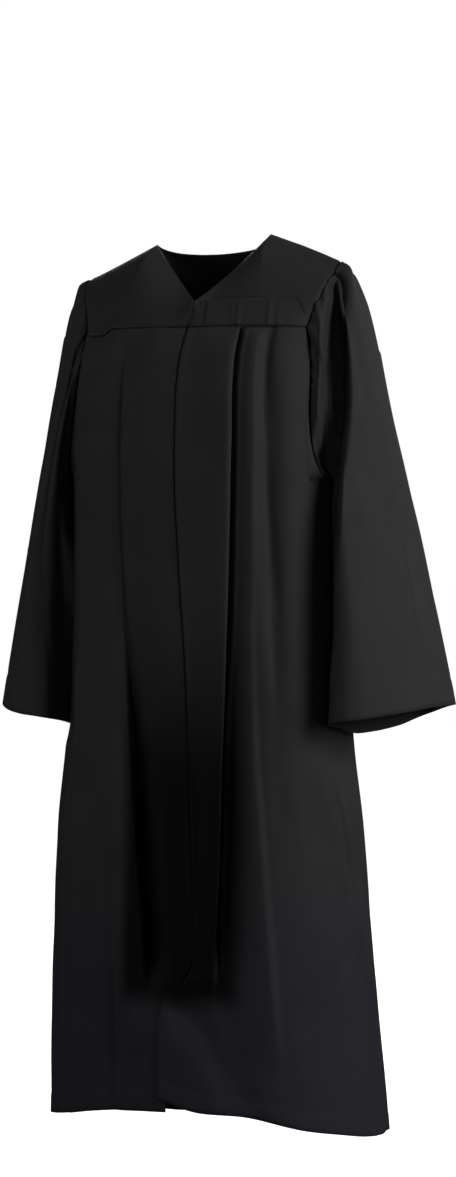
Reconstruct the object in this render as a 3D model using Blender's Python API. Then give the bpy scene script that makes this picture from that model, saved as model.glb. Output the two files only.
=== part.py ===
"""Graduation gown in the hollow form it has when worn: yokes, pleated fronts, gathered back,
two bell sleeves and a front zip whose pull tab swings.

Metres, +Z up.  The gown faces -Y and the wearer's left is +X.  The origin is midway between the
two points where the neck edge meets the shoulder seams, which is where the gown is held.

Every cloth panel is a grid of points on one body surface or on one sleeve surface, given a wall
inwards.  The body surface is a ring at each height, with folds raised along the ring's normal.
Angles run round the ring: 0 at the centre front, +90 at the wearer's left side, 180 at the back.
"""
import math
from collections import namedtuple

import bpy
import numpy as np

# ---------------------------------------------------------------- driving sizes
CLOTH = 0.0014              # wall of a cloth panel
TAPE = 0.0008               # wall of a zip tape
TAPE_WIDTH = 0.0110
TAPE_SHOWN = 0.0004         # of it between the front edges
TAPE_DEPTH = 0.0021         # tape's face behind the cloth's outer face
SEAM_GAP = 0.0003           # between two sewn pieces
RING_POWER = 2.4            # 2 is an ellipse, more is squarer

CHEST = np.array([0.0, 0.0, -0.2])      # a point inside the body

NECK_X = 0.088              # shoulder-neck point
SHOULDER = (0.194, 0.005, -0.045)      # where the shoulder seam meets the sleeve head
NECK_FRONT = (0.006, -0.097, -0.093)   # bottom of the V
NECK_BACK = (0.0, 0.052, -0.018)       # middle of the back neck edge
SHOULDER_TILT = 0.067       # the left shoulder is carried a little higher
TILT_DEPTH = 0.12           # the tilt has gone this far below the neck

YOKE_SEAM = -0.131          # front yoke seam height
YOKE_DIP = 0.010            # the right yoke's outer end hangs lower, as a rounded scallop
YOKE_DIP_FROM = 0.72        # shares of the seam where it starts, is full, and ends
YOKE_DIP_FULL = 0.86
YOKE_DIP_BACK = 0.94
YOKE_HANDLE = 0.40          # shares of a yoke's height over which it leaves its edges
BACK_HANDLE = 0.36
YOKE_BULGE = 0.013          # the yokes' outer edges round out over the arm
BULGE_POWER = 6
NECK_ROUND = 2.2            # roundness of the back neck
BACK_SEAM = -0.165
UNDERARM = -0.350
FRONT_CORNER = math.radians(58.4)      # ring angle where yoke seam meets armhole
BACK_CORNER = math.radians(121.0)
ARMHOLE_POWER = 2.6         # roundness of the lower armhole

HEM = -1.270                # mean hem height

ZIP_GAP = 0.003             # between the two front edges
ZIP_END = -1.035
LAP = 0.014                 # the left front laps over the right below the zip
LAP_LIFT = 0.006
LAP_SPREAD = 0.030
LAP_START = 0.028           # below the zip's end the edge first lifts this far, then laps
LAP_RISE = 0.016            # its lower corner is carried higher over this depth
LAP_RISE_DEPTH = 0.20
FOLD_FREE = 0.035           # folds rise from nothing beside the armhole over this distance
ARM_FAN = 0.25              # columns below the armhole spread out over this depth

YOKE_ROWS = 5
ARM_COLUMNS = 8
SLEEVE_ROWS = 13
SLEEVE_BUNCHING = 1.25      # more rows near the armhole
# Where a panel's rows lie, as shares of its length: closer at the seam and at the zip's end
ROW_SHARES = (0, 0.009, 0.02, 0.038, 0.062, 0.095, 0.14, 0.20, 0.27, 0.35, 0.43, 0.51, 0.59,
              0.67, 0.75, 0.81, 0.834, 0.858, 0.89, 0.94, 1.0)

ANGLE_STEP = 0.002          # short steps for measuring directions on a surface
HEIGHT_STEP = 0.0004
SEAM_STEP = 0.006

BLACK = (0.012, 0.012, 0.013)
CLOTH_ROUGHNESS = 0.75
GUNMETAL = (0.06, 0.06, 0.065)

RingRow = namedtuple("RingRow", "z half_width front back middle_x middle_y")
RINGS = (
    RingRow(-0.080, 0.188, 0.086, 0.074, 0.000, -0.008),
    RingRow(-0.131, 0.192, 0.120, 0.088, 0.000, -0.014),
    RingRow(-0.170, 0.194, 0.145, 0.097, 0.000, -0.020),
    RingRow(-0.210, 0.197, 0.157, 0.104, 0.000, -0.024),
    RingRow(-0.290, 0.203, 0.162, 0.112, 0.000, -0.025),
    RingRow(-0.480, 0.205, 0.160, 0.118, 0.000, -0.024),
    RingRow(-0.620, 0.208, 0.163, 0.126, 0.000, -0.022),
    RingRow(-0.750, 0.213, 0.168, 0.132, 0.000, -0.020),
    RingRow(-0.870, 0.220, 0.173, 0.139, 0.002, -0.018),
    RingRow(-1.020, 0.228, 0.180, 0.148, 0.004, -0.015),
    RingRow(-1.160, 0.235, 0.186, 0.157, 0.008, -0.012),
    RingRow(-1.310, 0.243, 0.192, 0.167, 0.013, -0.010),
)

# Directions in which a yoke leaves its top edge, at the neck and at the shoulder
YokeLeave = namedtuple("YokeLeave", "neck shoulder")
FRONT_LEAVE = YokeLeave((0.0, -0.60, -0.80), (0.0, -1.00, -0.30))
BACK_LEAVE = YokeLeave((0.0, 0.70, -0.70), (0.0, 1.00, -0.32))

HemRow = namedtuple("HemRow", "angle z")
HEMS = (
    HemRow(-180, -1.300), HemRow(-135, -1.297), HemRow(-90, -1.281), HemRow(-50, -1.264),
    HemRow(-20, -1.248), HemRow(0, -1.245), HemRow(18, -1.247), HemRow(45, -1.268),
    HemRow(62, -1.277), HemRow(90, -1.292), HemRow(135, -1.299), HemRow(180, -1.300),
)

ZipRow = namedtuple("ZipRow", "z x")
ZIP_LINE = (
    ZipRow(-0.080, 0.006),
    ZipRow(-0.210, 0.001),
    ZipRow(-0.370, 0.000),
    ZipRow(-0.480, 0.005),
    ZipRow(-0.600, 0.014),
    ZipRow(-0.730, 0.022),
    ZipRow(-0.880, 0.030),
    ZipRow(-0.980, 0.035),
    ZipRow(-1.030, 0.034),
    ZipRow(-1.060, 0.020),
    ZipRow(-1.090, 0.004),
    ZipRow(-1.130, -0.003),
    ZipRow(-1.180, -0.004),
    ZipRow(-1.310, -0.001),
)

# A fold runs down the body at three ring angles in degrees.  Its height is positive for a
# ridge and negative for a valley; near and far are its widths towards lower and higher angles.
YOKE_STATION = -0.130
WAIST_STATION = -0.550
HEM_STATION = -1.270
FOLD_TOP_FADE = 0.05
FOLD_END_FADE = 0.16
TOP_RISE = 0.022            # folds rise from nothing at the seam over this depth

FoldRow = namedtuple("FoldRow", "name yoke waist hem z_from z_to height near far")
FOLDS = (
    FoldRow("pleat edge", 19.0, 16.2, 8.5, -0.10, -1.12, 0.0070, 0.034, 0.0040),
    FoldRow("pleat valley", 21.1, 18.3, 10.8, -0.10, -1.10, -0.0060, 0.0040, 0.024),
    FoldRow("second ridge", 34.0, 33.0, 37.0, -0.10, -1.22, 0.0060, 0.022, 0.009),
    FoldRow("second valley", 38.0, 44.0, 52.0, -0.10, -0.72, -0.0055, 0.010, 0.022),
    FoldRow("left side ridge", 48.0, 52.0, 115.0, -0.72, -1.12, 0.0060, 0.024, 0.030),
    FoldRow("left hem valley", 0.0, -51.0, 25.0, -1.06, -1.50, -0.0060, 0.030, 0.030),
    FoldRow("left panel crown", 48.0, 48.0, 50.0, -0.16, -0.90, 0.0040, 0.035, 0.030),
    FoldRow("right deep valley", -23.8, -21.1, -4.0, -0.12, -1.16, -0.0060, 0.014, 0.026),
    FoldRow("right low valley", -24.0, -17.0, -5.0, -0.66, -1.12, -0.0060, 0.020, 0.012),
    FoldRow("right low crest", -18.0, -10.5, 2.0, -0.66, -1.12, 0.0060, 0.014, 0.020),
    FoldRow("right panel crown", -33.0, -32.0, -28.0, -0.18, -0.95, 0.0045, 0.030, 0.024),
    FoldRow("right outer fold", -46.0, -46.0, -40.0, -0.58, -1.50, 0.0100, 0.008, 0.022),
    FoldRow("right outer valley", -50.0, -51.0, -47.0, -0.60, -1.50, -0.0060, 0.024, 0.009),
    FoldRow("right hem line", -26.0, -24.0, -20.0, -0.86, -1.50, -0.0050, 0.014, 0.010),
    FoldRow("left arm hollow", 88.0, 90.0, 92.0, -0.30, -0.86, -0.0120, 0.070, 0.075),
    FoldRow("right arm hollow", -88.0, -90.0, -92.0, -0.30, -0.86, -0.0120, 0.075, 0.070),
    FoldRow("left side wave", 84.0, 86.0, 84.0, -0.84, -1.50, -0.0050, 0.030, 0.026),
    FoldRow("right side wave", -76.0, -78.0, -76.0, -0.76, -1.50, 0.0095, 0.026, 0.022),
    FoldRow("right side valley", -96.0, -98.0, -98.0, -0.86, -1.50, -0.0060, 0.026, 0.020),
    FoldRow("back fold 1", 128.0, 124.0, 118.0, -0.20, -1.50, 0.0110, 0.020, 0.016),
    FoldRow("back fold 2", 138.0, 136.0, 131.0, -0.17, -1.50, -0.0090, 0.018, 0.020),
    FoldRow("back fold 3", 148.0, 147.0, 145.0, -0.17, -1.50, 0.0120, 0.016, 0.022),
    FoldRow("back fold 4", 158.0, 158.0, 157.0, -0.17, -1.50, -0.0080, 0.020, 0.016),
    FoldRow("back fold 5", 168.0, 168.5, 168.0, -0.17, -1.50, 0.0100, 0.018, 0.018),
    FoldRow("back fold 6", -178.0, -179.0, 180.0, -0.17, -1.50, -0.0090, 0.020, 0.024),
    FoldRow("back fold 7", -168.0, -168.0, -166.0, -0.17, -1.50, 0.0120, 0.018, 0.016),
    FoldRow("back fold 8", -157.0, -156.0, -155.0, -0.17, -1.50, -0.0070, 0.016, 0.020),
    FoldRow("back fold 9", -147.0, -145.0, -141.0, -0.17, -1.50, 0.0110, 0.022, 0.018),
    FoldRow("back fold 10", -137.0, -134.0, -128.0, -0.18, -1.50, -0.0090, 0.018, 0.020),
    FoldRow("back fold 11", -127.0, -123.0, -116.0, -0.22, -1.50, 0.0100, 0.018, 0.022),
)

# Column tracks of each panel: a line that the columns follow, and the columns up to the next.
TrackRow = namedtuple("TrackRow", "name columns")
LEFT_TRACKS = (
    TrackRow("zip", 3), TrackRow("pleat edge", 1), TrackRow("pleat valley", 3),
    TrackRow("second ridge", 2), TrackRow("second valley", 2), TrackRow("corner", 0),
)
RIGHT_TRACKS = (
    TrackRow("zip", 3), TrackRow("right deep valley", 3), TrackRow("right panel crown", 2),
    TrackRow("right outer fold", 1), TrackRow("right outer valley", 2), TrackRow("corner", 0),
)
BACK_TRACKS = (
    TrackRow("corner", 1), TrackRow("back fold 1", 2), TrackRow("back fold 2", 2),
    TrackRow("back fold 3", 2), TrackRow("back fold 4", 2), TrackRow("back fold 5", 2),
    TrackRow("back fold 6", 2), TrackRow("back fold 7", 2), TrackRow("back fold 8", 2),
    TrackRow("back fold 9", 2), TrackRow("back fold 10", 2), TrackRow("back fold 11", 1),
    TrackRow("far corner", 0),
)

# Sleeve: one row for each station round it, 0 outside, 90 front, 180 under the arm, 270 back.
# leave is the direction in which the rib leaves the armhole, arrive the one in which it
# reaches the cuff from above, both as (out from the body, forward, down).
RibRow = namedtuple("RibRow", "turn leave_out leave_forward leave_down leave_length"
                    " arrive_out arrive_forward arrive_length cuff_z")
RIBS = (
    RibRow(0, 1.00, 0.00, 0.30, 0.052, -0.18, 0.02, 0.370, -0.675),
    RibRow(30, 0.86, 0.30, 0.45, 0.050, -0.15, -0.04, 0.330, -0.680),
    RibRow(62, 0.62, 0.55, 0.58, 0.048, -0.06, -0.07, 0.300, -0.686),
    RibRow(100, 0.45, 0.45, 0.78, 0.050, 0.02, -0.06, 0.220, -0.692),
    RibRow(140, 0.55, 0.12, 0.82, 0.045, 0.02, -0.02, 0.160, -0.702),
    RibRow(180, 0.60, 0.00, 0.80, 0.045, -0.02, 0.00, 0.150, -0.716),
    RibRow(220, 0.55, -0.14, 0.82, 0.045, -0.06, 0.04, 0.160, -0.710),
    RibRow(260, 0.50, -0.45, 0.74, 0.050, -0.10, 0.12, 0.220, -0.688),
    RibRow(298, 0.66, -0.52, 0.54, 0.052, -0.15, 0.14, 0.300, -0.678),
    RibRow(330, 0.88, -0.28, 0.42, 0.054, -0.17, 0.08, 0.340, -0.675),
    RibRow(360, 1.00, 0.00, 0.30, 0.052, -0.18, 0.02, 0.370, -0.675),
)
CAP_FULLNESS = {1: 1.00, -1: 0.58}     # the left sleeve head stands out more
CUFF_CENTRE = (0.268, 0.014)
CUFF_LONG = 0.148           # half of the cuff's long axis, mostly front to back
CUFF_SHORT = 0.062
CUFF_TURN = math.radians(13.0)         # the long axis turns in towards the front of the body
BODY_CLEARANCE = 0.006      # sleeve to body, below the armhole
CLEAR_FROM = 0.12           # reached at this share of the sleeve's length
PUSH_REACH = 0.03           # points further than this from the body are not moved
HOLLOW_DEPTH = 0.010        # the body gives way beside the arm, between two heights
HOLLOW_WIDTH = 0.075
HOLLOW_TOP = -0.34
HOLLOW_BOTTOM = -0.86
GATHER_TOP_FADE = 0.10      # shares of the sleeve's length
GATHER_END_FADE = 0.30
CALM_FROM = 0.35            # the side next to the body has softer folds
CALM_FADE = 0.40
CALM_SHARE = 0.80

GatherRow = namedtuple("GatherRow", "turn drift from_top to_end height near far")
GATHERS = (
    GatherRow(6, 2, 0.00, 0.34, 0.0050, 5.0, 7.0),
    GatherRow(18, 3, 0.00, 0.55, -0.0050, 6.0, 6.0),
    GatherRow(30, 4, 0.00, 0.42, 0.0055, 6.0, 7.0),
    GatherRow(42, 6, 0.00, 0.60, -0.0055, 6.0, 6.0),
    GatherRow(56, 22, 0.00, 1.30, 0.0070, 9.0, 8.0),
    GatherRow(76, 26, 0.00, 1.10, -0.0120, 9.0, 9.0),
    GatherRow(96, 22, 0.03, 0.95, 0.0060, 9.0, 10.0),
    GatherRow(125, 6, 0.20, 1.30, -0.0060, 12.0, 12.0),
    GatherRow(205, -4, 0.20, 1.30, -0.0050, 12.0, 12.0),
    GatherRow(240, -8, 0.05, 1.30, 0.0070, 12.0, 12.0),
    GatherRow(268, -8, 0.00, 1.30, -0.0070, 10.0, 9.0),
    GatherRow(290, -6, 0.00, 1.30, 0.0070, 9.0, 9.0),
    GatherRow(308, -4, 0.00, 0.70, -0.0050, 6.0, 6.0),
    GatherRow(322, -3, 0.00, 0.50, 0.0050, 6.0, 6.0),
    GatherRow(335, -2, 0.00, 0.60, -0.0050, 6.0, 6.0),
    GatherRow(348, 0, 0.00, 0.45, 0.0050, 6.0, 5.0),
)

# Pleated band on the left yoke
BAND_LINE = -0.093          # height of its upper edge
BAND_END_DROP = 0.012
BAND_TURN = 0.70            # the edge starts to drop here
BAND_EASE = 0.0005
BAND_FROM = 0.09            # as shares of the yoke's width
BAND_TO = 0.94
BAND_COLUMNS = 16
BAND_ROWS = 3
BAND_FOOT = 0.05            # share of the yoke's last row left free below the band
BAND_WALL = 0.0010
BandPleat = namedtuple("BandPleat", "share height width")
BAND_PLEATS = (
    BandPleat(0.22, 0.0010, 0.05),
    BandPleat(0.40, 0.0016, 0.04),
    BandPleat(0.58, 0.0012, 0.05),
    BandPleat(0.74, 0.0016, 0.04),
)

# Zip slider and pull tab, in the slider's own axes: across, out of the cloth, up the zip
SLIDER_WIDTH = 0.0086
SLIDER_LENGTH = 0.0125
SLIDER_DEPTH = 0.0022
SLIDER_LIFT = 0.0005
SLIDER_BELOW_V = 0.0085     # slider middle below the bottom of the V, along the cloth
SLIDER_BEVEL = 0.0006
SLOPE_SHARE = 0.30          # share of the yoke's height over which the cloth's slope is read
METAL_ROUGHNESS = 0.40
METALLIC = 0.90
BRIDGE_WIDTH = 0.0018
BRIDGE_WALL = 0.0009
BRIDGE_LENGTH = 0.0078
BRIDGE_HEIGHT = 0.0030
ArchRow = namedtuple("ArchRow", "height reach")     # shares of the bridge's height and half length
ARCH = (ArchRow(-0.30, 1.00), ArchRow(0.60, 1.00), ArchRow(1.00, 0.60))
PIVOT_HEIGHT = 0.0011       # pull's crossbar above the slider's face
PULL_BAR = 0.0011           # thickness of the crossbar and of the tab
PULL_WIDTH = 0.0062
PULL_WINDOW = 0.0030        # inner width of the tab's window
PULL_WINDOW_LENGTH = 0.0052
PullRow = namedtuple("PullRow", "down half_width")
PULL_ROWS = (
    PullRow(-PULL_BAR / 2, PULL_WIDTH / 2),
    PullRow(PULL_BAR / 2, PULL_WIDTH / 2),
    PullRow(0.0060, PULL_WIDTH / 2),
    PullRow(0.0100, 0.0020),
    PullRow(0.0230, 0.0023),
    PullRow(0.0296, 0.0037),
    PullRow(0.0344, 0.0037),
    PullRow(0.0370, 0.0018),
)


# ---------------------------------------------------------------- small helpers
def smoothstep(value):
    """0 below 0, 1 above 1, and a smooth rise between."""
    t = np.clip(value, 0.0, 1.0)
    return t * t * (3.0 - 2.0 * t)


def curve_through(keys, values, at):
    """Smooth curve through the rows' values, read at the given places."""
    order = np.argsort(keys)
    keys = np.asarray(keys, dtype=float)[order]
    values = np.asarray(values, dtype=float)[order]
    slopes = np.gradient(values, keys)
    at = np.clip(np.asarray(at, dtype=float), keys[0], keys[-1])
    low = np.clip(np.searchsorted(keys, at) - 1, 0, len(keys) - 2)
    span = keys[low + 1] - keys[low]
    t = (at - keys[low]) / span
    start = (1 + 2 * t) * (1 - t) ** 2 * values[low] + t * (1 - t) ** 2 * span * slopes[low]
    end = t * t * (3 - 2 * t) * values[low + 1] - t * t * (1 - t) * span * slopes[low + 1]
    return start + end


def column_of(rows, key, name, at):
    """One named column of a table, read at the given places of its key column."""
    keys = [getattr(row, key) for row in rows]
    values = [getattr(row, name) for row in rows]
    return curve_through(keys, values, at)


def signed_power(value, power):
    return np.sign(value) * np.abs(value) ** power


def unit(vectors):
    return vectors / np.linalg.norm(vectors, axis=-1, keepdims=True)


def bezier(start, start_handle, end_handle, end, t):
    """Cubic curve; points are (..., 3) and t has one dimension less."""
    t = np.asarray(t)[..., None]
    return ((1 - t) ** 3 * start + 3 * t * (1 - t) ** 2 * start_handle
            + 3 * t * t * (1 - t) * end_handle + t ** 3 * end)


def side_bell(distance, near, far):
    """1 at 0, falling off over a width of its own on each side."""
    width = np.where(distance < 0, near, far)
    return np.exp(-(distance / width) ** 2)


# ---------------------------------------------------------------- body surface
def ring(angle, z):
    """Point of the smooth body at a ring angle and a height."""
    half_width = column_of(RINGS, "z", "half_width", z)
    middle_x = column_of(RINGS, "z", "middle_x", z)
    middle_y = column_of(RINGS, "z", "middle_y", z)
    front_reach = column_of(RINGS, "z", "front", z) + middle_y
    back_reach = column_of(RINGS, "z", "back", z) - middle_y
    across = signed_power(np.sin(angle), 2 / RING_POWER)
    along = signed_power(np.cos(angle), 2 / RING_POWER)
    reach = np.where(along > 0, front_reach, back_reach)
    return np.stack([middle_x + half_width * across, middle_y - reach * along,
                     np.broadcast_to(z, np.shape(across))], axis=-1)


def ring_angle(x, z):
    """Ring angle of a place on the front, given by its x."""
    half_width = column_of(RINGS, "z", "half_width", z)
    middle_x = column_of(RINGS, "z", "middle_x", z)
    return np.arcsin(signed_power((x - middle_x) / half_width, RING_POWER / 2))


def ring_normal(angle, z):
    """Outward direction in plan, and metres of ring for each radian."""
    step = ANGLE_STEP * 5
    tangent = ring(angle + step, z) - ring(angle - step, z)
    speed = np.linalg.norm(tangent, axis=-1) / (2 * step)
    outward = np.stack([tangent[..., 1], -tangent[..., 0], np.zeros_like(speed)], axis=-1)
    return unit(outward), speed


def fold_angle(row, z):
    """Ring angle of a fold at a height, in radians."""
    stations = [HEM_STATION, WAIST_STATION, YOKE_STATION]
    return np.radians(curve_through(stations, unwrapped(row), z))


def unwrapped(row):
    """A fold's three angles, without a jump where the ring closes at the back."""
    return np.degrees(np.unwrap(np.radians([row.hem, row.waist, row.yoke])))


def fold_height(angle, z, speed):
    """Sum of all folds at a place of the body."""
    total = np.zeros(np.shape(angle))
    for row in FOLDS:
        offset = angle - fold_angle(row, z)
        offset = (offset + math.pi) % (2 * math.pi) - math.pi
        shown = smoothstep((row.z_from - z) / FOLD_TOP_FADE)
        shown = shown * smoothstep((z - row.z_to) / FOLD_END_FADE)
        total = total + row.height * shown * side_bell(offset * speed, row.near, row.far)
    return total


def body(angle, z, top):
    """Point of the folded body; folds rise from nothing below the panel's top edge."""
    outward, speed = ring_normal(angle, z)
    height = fold_height(angle, z, speed) * smoothstep((top - z) / TOP_RISE)
    height = height * fold_freedom(angle, z, speed)
    return ring(angle, z) + outward * height[..., None]


def body_inward(angle, z, top):
    """Unit direction through the cloth of the folded body, from the surface inwards."""
    along = body(angle + ANGLE_STEP, z, top) - body(angle - ANGLE_STEP, z, top)
    down = body(angle, z - HEIGHT_STEP, top) - body(angle, z + HEIGHT_STEP, top)
    return unit(np.cross(along, down))


def body_line(angle, z, top):
    """One column of a body panel: its points and its inward directions, side by side."""
    return np.concatenate([body(angle, z, top), body_inward(angle, z, top)], axis=-1)


def hem_height(angle):
    turned = (np.degrees(angle) + 180.0) % 360.0 - 180.0
    return column_of(HEMS, "angle", "z", turned)


def armhole_angle(z, front):
    """Ring angle of the armhole's edge at a height; the side seam below the arm."""
    corner = FRONT_CORNER if front else BACK_CORNER
    corner_height = YOKE_SEAM if front else BACK_SEAM
    rise = np.clip((z - UNDERARM) / (corner_height - UNDERARM), 0.0, 1.0)
    cosine = (1.0 - rise) ** (ARMHOLE_POWER / 2)
    towards_corner = (1.0 - cosine ** 2) ** (1 / ARMHOLE_POWER)
    return math.pi / 2 + (corner - math.pi / 2) * towards_corner


def fold_freedom(angle, z, speed):
    """0 beside the armhole, 1 a little way from it."""
    around = np.abs((angle + math.pi) % (2 * math.pi) - math.pi)
    front_room = armhole_angle(z, True) - around
    back_room = around - armhole_angle(z, False)
    room = np.maximum(np.maximum(front_room, back_room), 0.0) * speed
    return smoothstep(np.hypot(room, np.maximum(UNDERARM - z, 0.0)) / FOLD_FREE)


def lower_armhole(share, front):
    """Ring angle and height on the armhole below the yoke: share 0 at its corner, 1 under
    the arm."""
    corner = FRONT_CORNER if front else BACK_CORNER
    corner_height = YOKE_SEAM if front else BACK_SEAM
    turn = (1.0 - share) * math.pi / 2
    towards_corner = np.sin(turn) ** (2 / ARMHOLE_POWER)
    rise = 1.0 - np.maximum(np.cos(turn), 0.0) ** (2 / ARMHOLE_POWER)
    angle = math.pi / 2 + (corner - math.pi / 2) * towards_corner
    return angle, UNDERARM + (corner_height - UNDERARM) * rise


# ---------------------------------------------------------------- front and back yokes
def yoke_seam_height(share, side):
    """Front yoke seam: straight on the left, with a rounded drop near the right one's end."""
    if side > 0:
        return np.full(np.shape(share), YOKE_SEAM)
    comes = smoothstep((share - YOKE_DIP_FROM) / (YOKE_DIP_FULL - YOKE_DIP_FROM))
    goes = smoothstep((share - YOKE_DIP_BACK) / (1 - YOKE_DIP_BACK))
    return YOKE_SEAM - YOKE_DIP * comes * (1 - goes)


def zip_x(z):
    return column_of(ZIP_LINE, "z", "x", z)


def yoke_curve(top, seam, below_seam, down, leave, handle, side, reach):
    """Line from a yoke's top edge to its seam, where it runs on into the panel below."""
    lean = smoothstep(reach * 2)[..., None]
    top_way = unit(np.array(leave.neck) * (1 - lean) + np.array(leave.shoulder) * lean)
    seam_way = unit(below_seam - seam)
    length = np.linalg.norm(seam - top, axis=-1)[..., None]
    bulge = np.stack([side * YOKE_BULGE * reach ** BULGE_POWER, 0 * reach, 0 * reach], axis=-1)
    return bezier(top, top + top_way * length * handle,
                  seam - seam_way * length * YOKE_HANDLE + bulge, seam, down)


def front_yoke_rib(share, down, side, top_share=None):
    """Point of a front yoke: share 0 at the zip and 1 at the armhole, down 0 at the neck or
    shoulder and 1 at the seam.  top_share is the share at the upper end, 0.5 at the neck
    point."""
    top_share = share if top_share is None else top_share
    share, down, top_share = np.broadcast_arrays(share, down, top_share)
    neck = np.clip(top_share * 2, 0, 1)
    outer = np.clip(top_share * 2 - 1, 0, 1)
    v_x = side * NECK_FRONT[0] + ZIP_GAP / 2
    top_x = v_x + (NECK_X - v_x) * neck + (SHOULDER[0] - NECK_X) * outer
    top_y = NECK_FRONT[1] * (1 - neck) + SHOULDER[1] * outer - SEAM_GAP / 2
    top_z = NECK_FRONT[2] * (1 - neck ** 1.1) + SHOULDER[2] * outer
    top = np.stack([side * top_x, top_y, top_z], axis=-1)

    seam_z = yoke_seam_height(share, side)
    edge_angle = ring_angle(zip_x(seam_z) + side * ZIP_GAP / 2, seam_z)
    angle = edge_angle + (side * FRONT_CORNER - edge_angle) * share
    return yoke_curve(top, ring(angle, seam_z), ring(angle, seam_z - SEAM_STEP), down,
                      FRONT_LEAVE, YOKE_HANDLE, side, share)


def back_yoke_rib(share, down):
    """Point of the back yoke: share -1 at the right armhole and +1 at the left."""
    share, down = np.broadcast_arrays(share, down)
    side = np.where(share < 0, -1.0, 1.0)
    reach = np.abs(share)
    neck = np.clip(reach * 2, 0, 1)
    outer = np.clip(reach * 2 - 1, 0, 1)
    round_neck = np.sqrt(np.maximum(1 - neck ** NECK_ROUND, 0))
    top_x = NECK_X * neck + (SHOULDER[0] - NECK_X) * outer
    top_y = NECK_BACK[1] * round_neck + SHOULDER[1] * outer + SEAM_GAP / 2
    top_z = NECK_BACK[2] * round_neck + SHOULDER[2] * outer
    top = np.stack([side * top_x, top_y, top_z], axis=-1)

    angle = math.pi - side * (math.pi - BACK_CORNER) * reach
    return yoke_curve(top, ring(angle, BACK_SEAM), ring(angle, BACK_SEAM - SEAM_STEP), down,
                      BACK_LEAVE, BACK_HANDLE, side, reach)


def yoke_shares(side):
    """Columns of a front yoke, one above each column of the panel below it."""
    tracks = LEFT_TRACKS if side > 0 else RIGHT_TRACKS
    seam = np.array(YOKE_SEAM)
    angles = [part_angle(here, there, part, side, seam)
              for here, there, part in column_plan(tracks)]
    return seam_share(np.array(angles), side)


def front_yoke_grid(side, rows=YOKE_ROWS):
    shares = yoke_shares(side)
    neck_column = np.argmin(np.abs(shares - 0.5))
    top_shares = np.interp(shares, [0, shares[neck_column], 1], [0, 0.5, 1])
    down = np.linspace(0, 1, rows + 1)[:, None]
    points = front_yoke_rib(shares[None, :], down, side, top_shares[None, :])
    points[-1, :, 2] += SEAM_GAP / 2
    return points


def back_yoke_grid(rows=YOKE_ROWS):
    seam = np.array(BACK_SEAM)
    angles = np.array([part_angle(here, there, part, 0, seam)
                       for here, there, part in column_plan(BACK_TRACKS)])
    shares = (math.pi - angles) / (math.pi - BACK_CORNER)
    for side in (1, -1):
        shares[np.argmin(np.abs(shares - side * 0.5))] = side * 0.5
    down = np.linspace(0, 1, rows + 1)[:, None]
    points = back_yoke_rib(shares[None, :], down)
    points[-1, :, 2] += SEAM_GAP / 2
    return points


def shoulder_inward(points, inward):
    """Squares the wall's edge to the shoulder seam, so that front and back meet there."""
    x = points[0, :, 0]
    on_seam = np.abs(x) > NECK_X - 0.001
    fall = SHOULDER[2] / (SHOULDER[0] - NECK_X)
    square = unit(np.stack([np.sign(x) * fall, 0 * x, -np.ones_like(x)], axis=-1))
    squared = inward.copy()
    squared[0, on_seam] = square[on_seam]
    return squared


def between_rows(values, at):
    """Values of a column of points, read between its rows."""
    rows = np.arange(len(values))
    return np.stack([np.interp(at, rows, values[:, axis]) for axis in range(3)], axis=-1)


def band_grid(yoke):
    """Pleated band: a stretch of the left yoke's own points, moved out."""
    shares = yoke_shares(1)
    last_row = len(yoke.points) - 1
    columns = []
    for share in np.linspace(BAND_FROM, BAND_TO, BAND_COLUMNS + 1):
        place = np.interp(share, shares, np.arange(len(shares)))
        low = int(place)
        part = place - low
        line = yoke.points[:, low] * (1 - part) + yoke.points[:, low + 1] * part
        way = yoke.inward[:, low] * (1 - part) + yoke.inward[:, low + 1] * part
        drop = BAND_END_DROP * max(share - BAND_TURN, 0.0) / (BAND_TO - BAND_TURN)
        start = np.interp(drop - BAND_LINE, -line[:, 2], np.arange(last_row + 1))
        steps = np.linspace(start, last_row - BAND_FOOT, BAND_ROWS + 1)
        pleat = sum(row.height * math.exp(-((share - row.share) / row.width) ** 2)
                    for row in BAND_PLEATS)
        lift = SEAM_GAP + BAND_EASE + BAND_WALL + pleat
        columns.append(between_rows(line, steps) - between_rows(way, steps) * lift)
    points = np.stack(columns, axis=1)
    return Panel(points, inward_directions(points, CHEST))


# ---------------------------------------------------------------- panels
Panel = namedtuple("Panel", "points inward")


def track_angle(name, z, side):
    """Ring angle of a column track at the given heights."""
    if name == "zip":
        return ring_angle(zip_x(z) + side * ZIP_GAP / 2, z)
    if name == "corner":
        return np.full(np.shape(z), side * FRONT_CORNER if side else BACK_CORNER)
    if name == "far corner":
        return np.full(np.shape(z), 2 * math.pi - BACK_CORNER)
    row = next(fold for fold in FOLDS if fold.name == name)
    angle = fold_angle(row, z)
    if side == 0:
        angle = angle % (2 * math.pi)
    return angle


def column_heights(top, bottom):
    return top + (bottom - top) * np.array(ROW_SHARES)


def column_plan(tracks):
    """For each column the two tracks it lies between, and how far it is from the first."""
    plan = []
    for here, there in zip(tracks[:-1], tracks[1:]):
        for step in range(here.columns):
            plan.append((here.name, there.name, step / here.columns))
    plan.append((tracks[-1].name, tracks[-1].name, 0.0))
    return plan


def part_angle(here, there, part, side, z):
    """Ring angle of a column at the given heights."""
    return (1 - part) * track_angle(here, z, side) + part * track_angle(there, z, side)


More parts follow.
